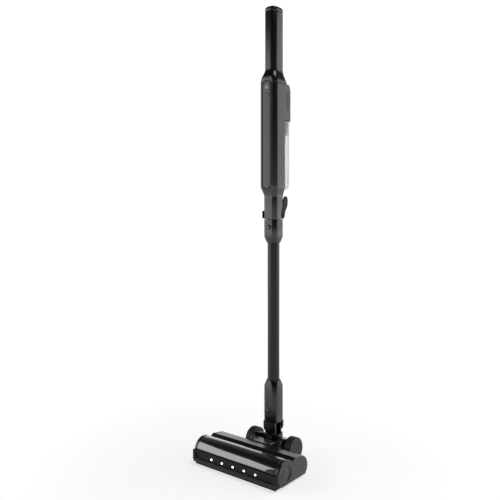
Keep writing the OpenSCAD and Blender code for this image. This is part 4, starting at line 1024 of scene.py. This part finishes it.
class VACUUM_OT_wheels(bpy.types.Operator):
    """Builds both rear wheels: hubs and treads"""
    bl_idname = "vacuum.wheels"
    bl_label = "Wheels"

    def execute(self, context):
        for s, side in ((1, "right"), (-1, "left")):
            tread, hub = wheel_pair(s)
            fit(tread, "tyre_rubber", side + "_wheel", "tyre_" + side)
            fit(hub, "black_plastic", side + "_wheel", "wheel_" + side)
        return {"FINISHED"}


class VACUUM_OT_stick(bpy.types.Operator):
    """Builds both couplings, their release buttons and the tube"""
    bl_idname = "vacuum.stick"
    bl_label = "Stick"

    def execute(self, context):
        fit(lower_socket(), "black_plastic", "swivel", "swivel_socket")
        fit(stick_tube(), "black_tube", "wand", "tube")
        fit(upper_socket(), "black_plastic", "wand", "up_coupling")
        for name, z, body, node in (("lower_release", 116, "low_release", "low_button"),
                                    ("upper_release", 569, "up_release", "up_button")):
            (_, y0, z0), (_, y1, z1) = low(node), high(node)
            face = (y0 - TUBE_Y) / MM + 1.0
            fit(round_button(name, 6.5, face, (z0 + z1) / 2 / MM, 3.2, 0.9), "satin_plastic", body, node)
        return {"FINISHED"}


class VACUUM_OT_hand_unit(bpy.types.Operator):
    """Builds the hand unit's front shell and neck, with the shoulder and grip"""
    bl_idname = "vacuum.hand_unit"
    bl_label = "Hand unit shells"

    def execute(self, context):
        shell = skin("front_shell", placed(front_shell()), wrap_cols=True, caps=True, flip=True)
        sharpen(shell, 35)
        neck = sharpen(cut(stacked("neck_post", neck_rows()), side_pocket()), 35)
        fit(neck, "black_plastic", "hand_unit", "main_shell")
        fit(shell, "black_plastic", "hand_unit", "main_shell")
        grip = shoulder_and_grip()
        for s in (-1, 1):
            cut(grip, half_moon(*((14, 20) if s > 0 else (-20, -14)), grow=0.6))
        fit(sharpen(grip, 35), "black_plastic", "hand_unit", "grip_shell")
        return {"FINISHED"}


class VACUUM_OT_battery(bpy.types.Operator):
    """Builds the battery's case and cap and the two half-moon release buttons"""
    bl_idname = "vacuum.battery"
    bl_label = "Battery and its releases"

    def execute(self, context):
        fit(battery_case(), "black_plastic", "battery", "battery_pack")
        for s, side in ((1, "right"), (-1, "left")):
            node = "grip_button_" + side
            x0, x1 = sorted([s * 15.9, s * float(abs(high("grip_button_right")[0])) / MM])
            moon = half_moon(x0, x1)
            moon.name = "half_moon_" + side
            fit(sharpen(moon, 40), "satin_plastic", "grip_key_" + side, node)
        return {"FINISHED"}


class VACUUM_OT_front_panel(bpy.types.Operator):
    """Builds the glossy front panel, its double-line trim, the buttons and their marks"""
    bl_idname = "vacuum.front_panel"
    bl_label = "Front panel and buttons"

    def execute(self, context):
        crown = context.scene.vacuum_sizes.panel_crown / MM
        front = (float(low("main_shell")[1]) - TUBE_Y) / MM
        half = float(high("front_panel")[0]) / MM
        face = (float(low("front_panel")[1]) - TUBE_Y) / MM
        panel = slot_pad("front_panel_pane", half - 0.9, Z_PANEL0 + 0.9, Z_PANEL1 - 0.9, front - 0.1, face + crown, crown, 0.6)
        power_z = float(low("power_button")[2] + high("power_button")[2]) / 2 / MM
        mode_z = float(low("mode_button")[2] + high("mode_button")[2]) / 2 / MM
        cut(panel, plug(6.0, front - 6, front + 4, power_z))
        cut(panel, wide_pad("plug", 8.3, mode_z - 3.8, mode_z + 3.8, front + 4, front - 6, 0.01))
        fit(sharpen(panel, 40), "gloss_panel", "hand_unit", "front_panel")
        top = face - 0.15
        double = [(-0.1, front + 0.3), (-0.1, top + 0.8), (0.05, top + 0.25), (0.45, top), (0.85, top + 0.3), (0.95, top + 1.1),
                  (1.35, top + 1.1), (1.4, top + 0.35), (1.65, top), (1.9, top + 0.3), (2.0, top + 0.9),
                  (2.0, front + 0.3)]
        trim = trim_frame("panel_trim_ring", half, Z_PANEL0, Z_PANEL1, double)
        fit(trim, "grey_trim", "hand_unit", "panel_trim")
        power = round_button("power_button_cap", 5.6, face - 0.9, power_z, 4.0, 0.15)
        fit(power, "grey_trim", "power_key", "power_button").data.materials[0] = FINISH["backlit"]
        mode = wide_pad("mode_button_cap", 8.0, mode_z - 3.5, mode_z + 3.5, front + 3, face - 0.4, 0.7)
        fit(mode, "gloss_panel", "mode_key", "mode_button")
        marks = [mark_ring(-3.6, mode_z, face - 0.42), mark_ring(3.6, mode_z, face - 0.42)]
        fit(join("mode_marks", marks), "grey_trim", "mode_key").data.materials[0] = FINISH["backlit"]
        return {"FINISHED"}


class VACUUM_OT_side_button(bpy.types.Operator):
    """Builds the ridged button on the neck's left side and the cup's lever"""
    bl_idname = "vacuum.side_button"
    bl_label = "Side button and lever"

    def execute(self, context):
        fit(rib_pad(), "satin_plastic", "side_key", "side_button")
        cheeks = join("cup_lever_cheeks", lever_cheek(1) + lever_cheek(-1))
        fit(sharpen(cheeks, 40), "soft_rubber", "lever", "cup_lever")
        return {"FINISHED"}


class VACUUM_OT_dust_cup(bpy.types.Operator):
    """Builds the clear dust cup and the frame of its filter"""
    bl_idname = "vacuum.dust_cup"
    bl_label = "Dust cup"

    def execute(self, context):
        fit(dust_cup(), "clear_cup", "cup", "dust_cup")
        fit(filter_basket(), "filter_plastic", "cup", "filter_frame")
        return {"FINISHED"}


# ---------- stage ----------

EYE = (0.8609, -1.1190, 0.5881)
AZIMUTH = np.radians(38.55)
LENS = 41.99


def panel_light(name, place, size, power, toward):
    """A soft rectangular light at place, facing the point toward."""
    data = bpy.data.lights.new(name, "AREA")
    data.shape = "RECTANGLE"
    data.size, data.size_y = size
    data.energy = power
    lamp_object = bpy.data.objects.new(name, data)
    bpy.context.scene.collection.objects.link(lamp_object)
    lamp_object.location = place
    aim = np.asarray(toward, float) - np.asarray(place, float)
    yaw = np.arctan2(aim[0], -aim[1])
    pitch = np.arctan2(np.hypot(aim[0], aim[1]), -aim[2])
    lamp_object.rotation_euler = (float(pitch), 0.0, float(yaw) + np.pi)
    return lamp_object


class VACUUM_OT_stage(bpy.types.Operator):
    """Sets the pale floor, the soft studio light and the camera"""
    bl_idname = "vacuum.stage"
    bl_label = "Studio"

    def execute(self, context):
        scene = context.scene
        u = np.linspace(-30, 30, 7)
        grid = np.stack(np.meshgrid(u, u, [0.0], indexing="ij"), axis=-1)[:, :, 0]
        floor = skin("floor", grid)
        made, tree, out = blank("seamless_paper")
        place = add_node(tree, "ShaderNodeTexCoord")
        mottle = add_node(tree, "ShaderNodeTexNoise", inputs={"Scale": 40.0}, links={"Vector": (place, "Object")})
        colour = add_node(tree, "ShaderNodeMix", {"data_type": "RGBA"},
                          {6: linear("#c9c9c9"), 7: linear("#cecece")}, {0: (mottle, "Fac")})
        reach = add_node(tree, "ShaderNodeVectorMath", {"operation": "LENGTH"}, links={0: (place, "Object")})
        glow = add_node(tree, "ShaderNodeMapRange", {"interpolation_type": "SMOOTHSTEP"},
                        {"From Min": 0.25, "From Max": 1.5, "To Min": 0.64, "To Max": 1.0}, {"Value": (reach, "Value")})
        shader = add_node(tree, "ShaderNodeBsdfPrincipled", inputs={"Roughness": 0.9, "Specular IOR Level": 0.1,
                                  "Emission Color": (1, 1, 1, 1)},
                          links={"Base Color": (colour, 2), "Emission Strength": (glow, "Result")})
        tree.links.new(shader.outputs[0], out.inputs["Surface"])
        floor.data.materials.append(made)

        world = bpy.data.worlds.new("studio")
        world.use_nodes = True
        tree = world.node_tree
        tree.nodes.clear()
        # A white cyclorama behind the object that darkens towards the front and the ceiling
        place = add_node(tree, "ShaderNodeTexCoord")
        facing = add_node(tree, "ShaderNodeVectorMath", {"operation": "DOT_PRODUCT"},
                          links={0: (place, "Generated")})
        facing.inputs[1].default_value = (-0.623, 0.782, 0.0)
        strength = add_node(tree, "ShaderNodeMapRange", {"interpolation_type": "SMOOTHSTEP"},
                            {"From Min": 0.3, "From Max": 0.8, "To Min": 0.06, "To Max": 1.05},
                            {"Value": (facing, "Value")})
        rise = add_node(tree, "ShaderNodeSeparateXYZ", links={"Vector": (place, "Generated")})
        height = add_node(tree, "ShaderNodeMapRange", {"interpolation_type": "SMOOTHSTEP"},
                          {"From Min": 0.36, "From Max": 0.42, "To Min": 1.0, "To Max": 0.12}, {"Value": (rise, "Z")})
        level = add_node(tree, "ShaderNodeMath", {"operation": "MULTIPLY"},
                         links={0: (strength, "Result"), 1: (height, "Result")})
        # The backdrop itself is white from every side
        ray = add_node(tree, "ShaderNodeLightPath")
        seen = add_node(tree, "ShaderNodeMath", {"operation": "MAXIMUM"},
                        links={0: (level, "Value"), 1: (ray, "Is Camera Ray")})
        sky = add_node(tree, "ShaderNodeBackground", inputs={"Color": (1, 1, 1, 1)},
                       links={"Strength": (seen, "Value")})
        add_node(tree, "ShaderNodeOutputWorld", links={"Surface": (sky, "Background")})
        scene.world = world

        # Two tall softboxes, one for each face that the camera sees, and a long one overhead
        panel_light("left_softbox", (-2.3, -1.93, 1.22), (2.9, 2.3), 48, (0, 0, 1.22))
        panel_light("right_softbox", (2.12, 2.12, 1.22), (2.8, 2.3), 36, (0, 0, 1.22))
        panel_light("top_softbox", (0.6, 0.4, 2.7), (1.6, 0.8), 22, (0, -0.05, 0))

        data = bpy.data.cameras.new("camera")
        data.lens = LENS
        data.sensor_width = 36.0
        data.shift_y = -0.061
        camera = bpy.data.objects.new("camera", data)
        scene.collection.objects.link(camera)
        camera.location = EYE
        camera.rotation_euler = (float(TAU / 4), 0.0, float(AZIMUTH))
        scene.camera = camera
        scene.view_settings.view_transform = "Standard"
        return {"FINISHED"}


# ---------- panel and registration ----------

STEPS = ("finishes", "nozzle_covers", "bumper", "brush", "yoke", "wheels", "stick", "hand_unit", "battery",
         "front_panel", "side_button", "dust_cup", "stage")


class VACUUM_PT_build(bpy.types.Panel):
    """Lists the sizes, the colours and a button for each step"""
    bl_idname = "VACUUM_PT_build"
    bl_label = "Cordless stick vacuum"
    bl_space_type = "VIEW_3D"
    bl_region_type = "UI"
    bl_category = "Vacuum"

    def draw(self, context):
        for group in (context.scene.vacuum_sizes, context.scene.vacuum_colours):
            box = self.layout.box()
            for name in group.__annotations__:
                box.prop(group, name)
        for step in STEPS:
            self.layout.operator("vacuum." + step)


CLASSES = (VacuumSizes, VacuumColours, VACUUM_OT_finishes, VACUUM_OT_nozzle_covers, VACUUM_OT_bumper, VACUUM_OT_brush,
           VACUUM_OT_yoke, VACUUM_OT_wheels, VACUUM_OT_stick, VACUUM_OT_hand_unit, VACUUM_OT_battery,
           VACUUM_OT_front_panel, VACUUM_OT_side_button, VACUUM_OT_dust_cup, VACUUM_OT_stage, VACUUM_PT_build)


def register():
    for cls in CLASSES:
        bpy.utils.register_class(cls)
    bpy.types.Scene.vacuum_sizes = bpy.props.PointerProperty(type=VacuumSizes)
    bpy.types.Scene.vacuum_colours = bpy.props.PointerProperty(type=VacuumColours)


def unregister():
    del bpy.types.Scene.vacuum_colours
    del bpy.types.Scene.vacuum_sizes
    for cls in reversed(CLASSES):
        bpy.utils.unregister_class(cls)


def main():
    """Registers the add-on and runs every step."""
    register()
    for step in STEPS:
        if getattr(bpy.ops.vacuum, step)() != {"FINISHED"}:
            raise RuntimeError("the step " + step + " did not finish")


if __name__ == "__main__":
    main()
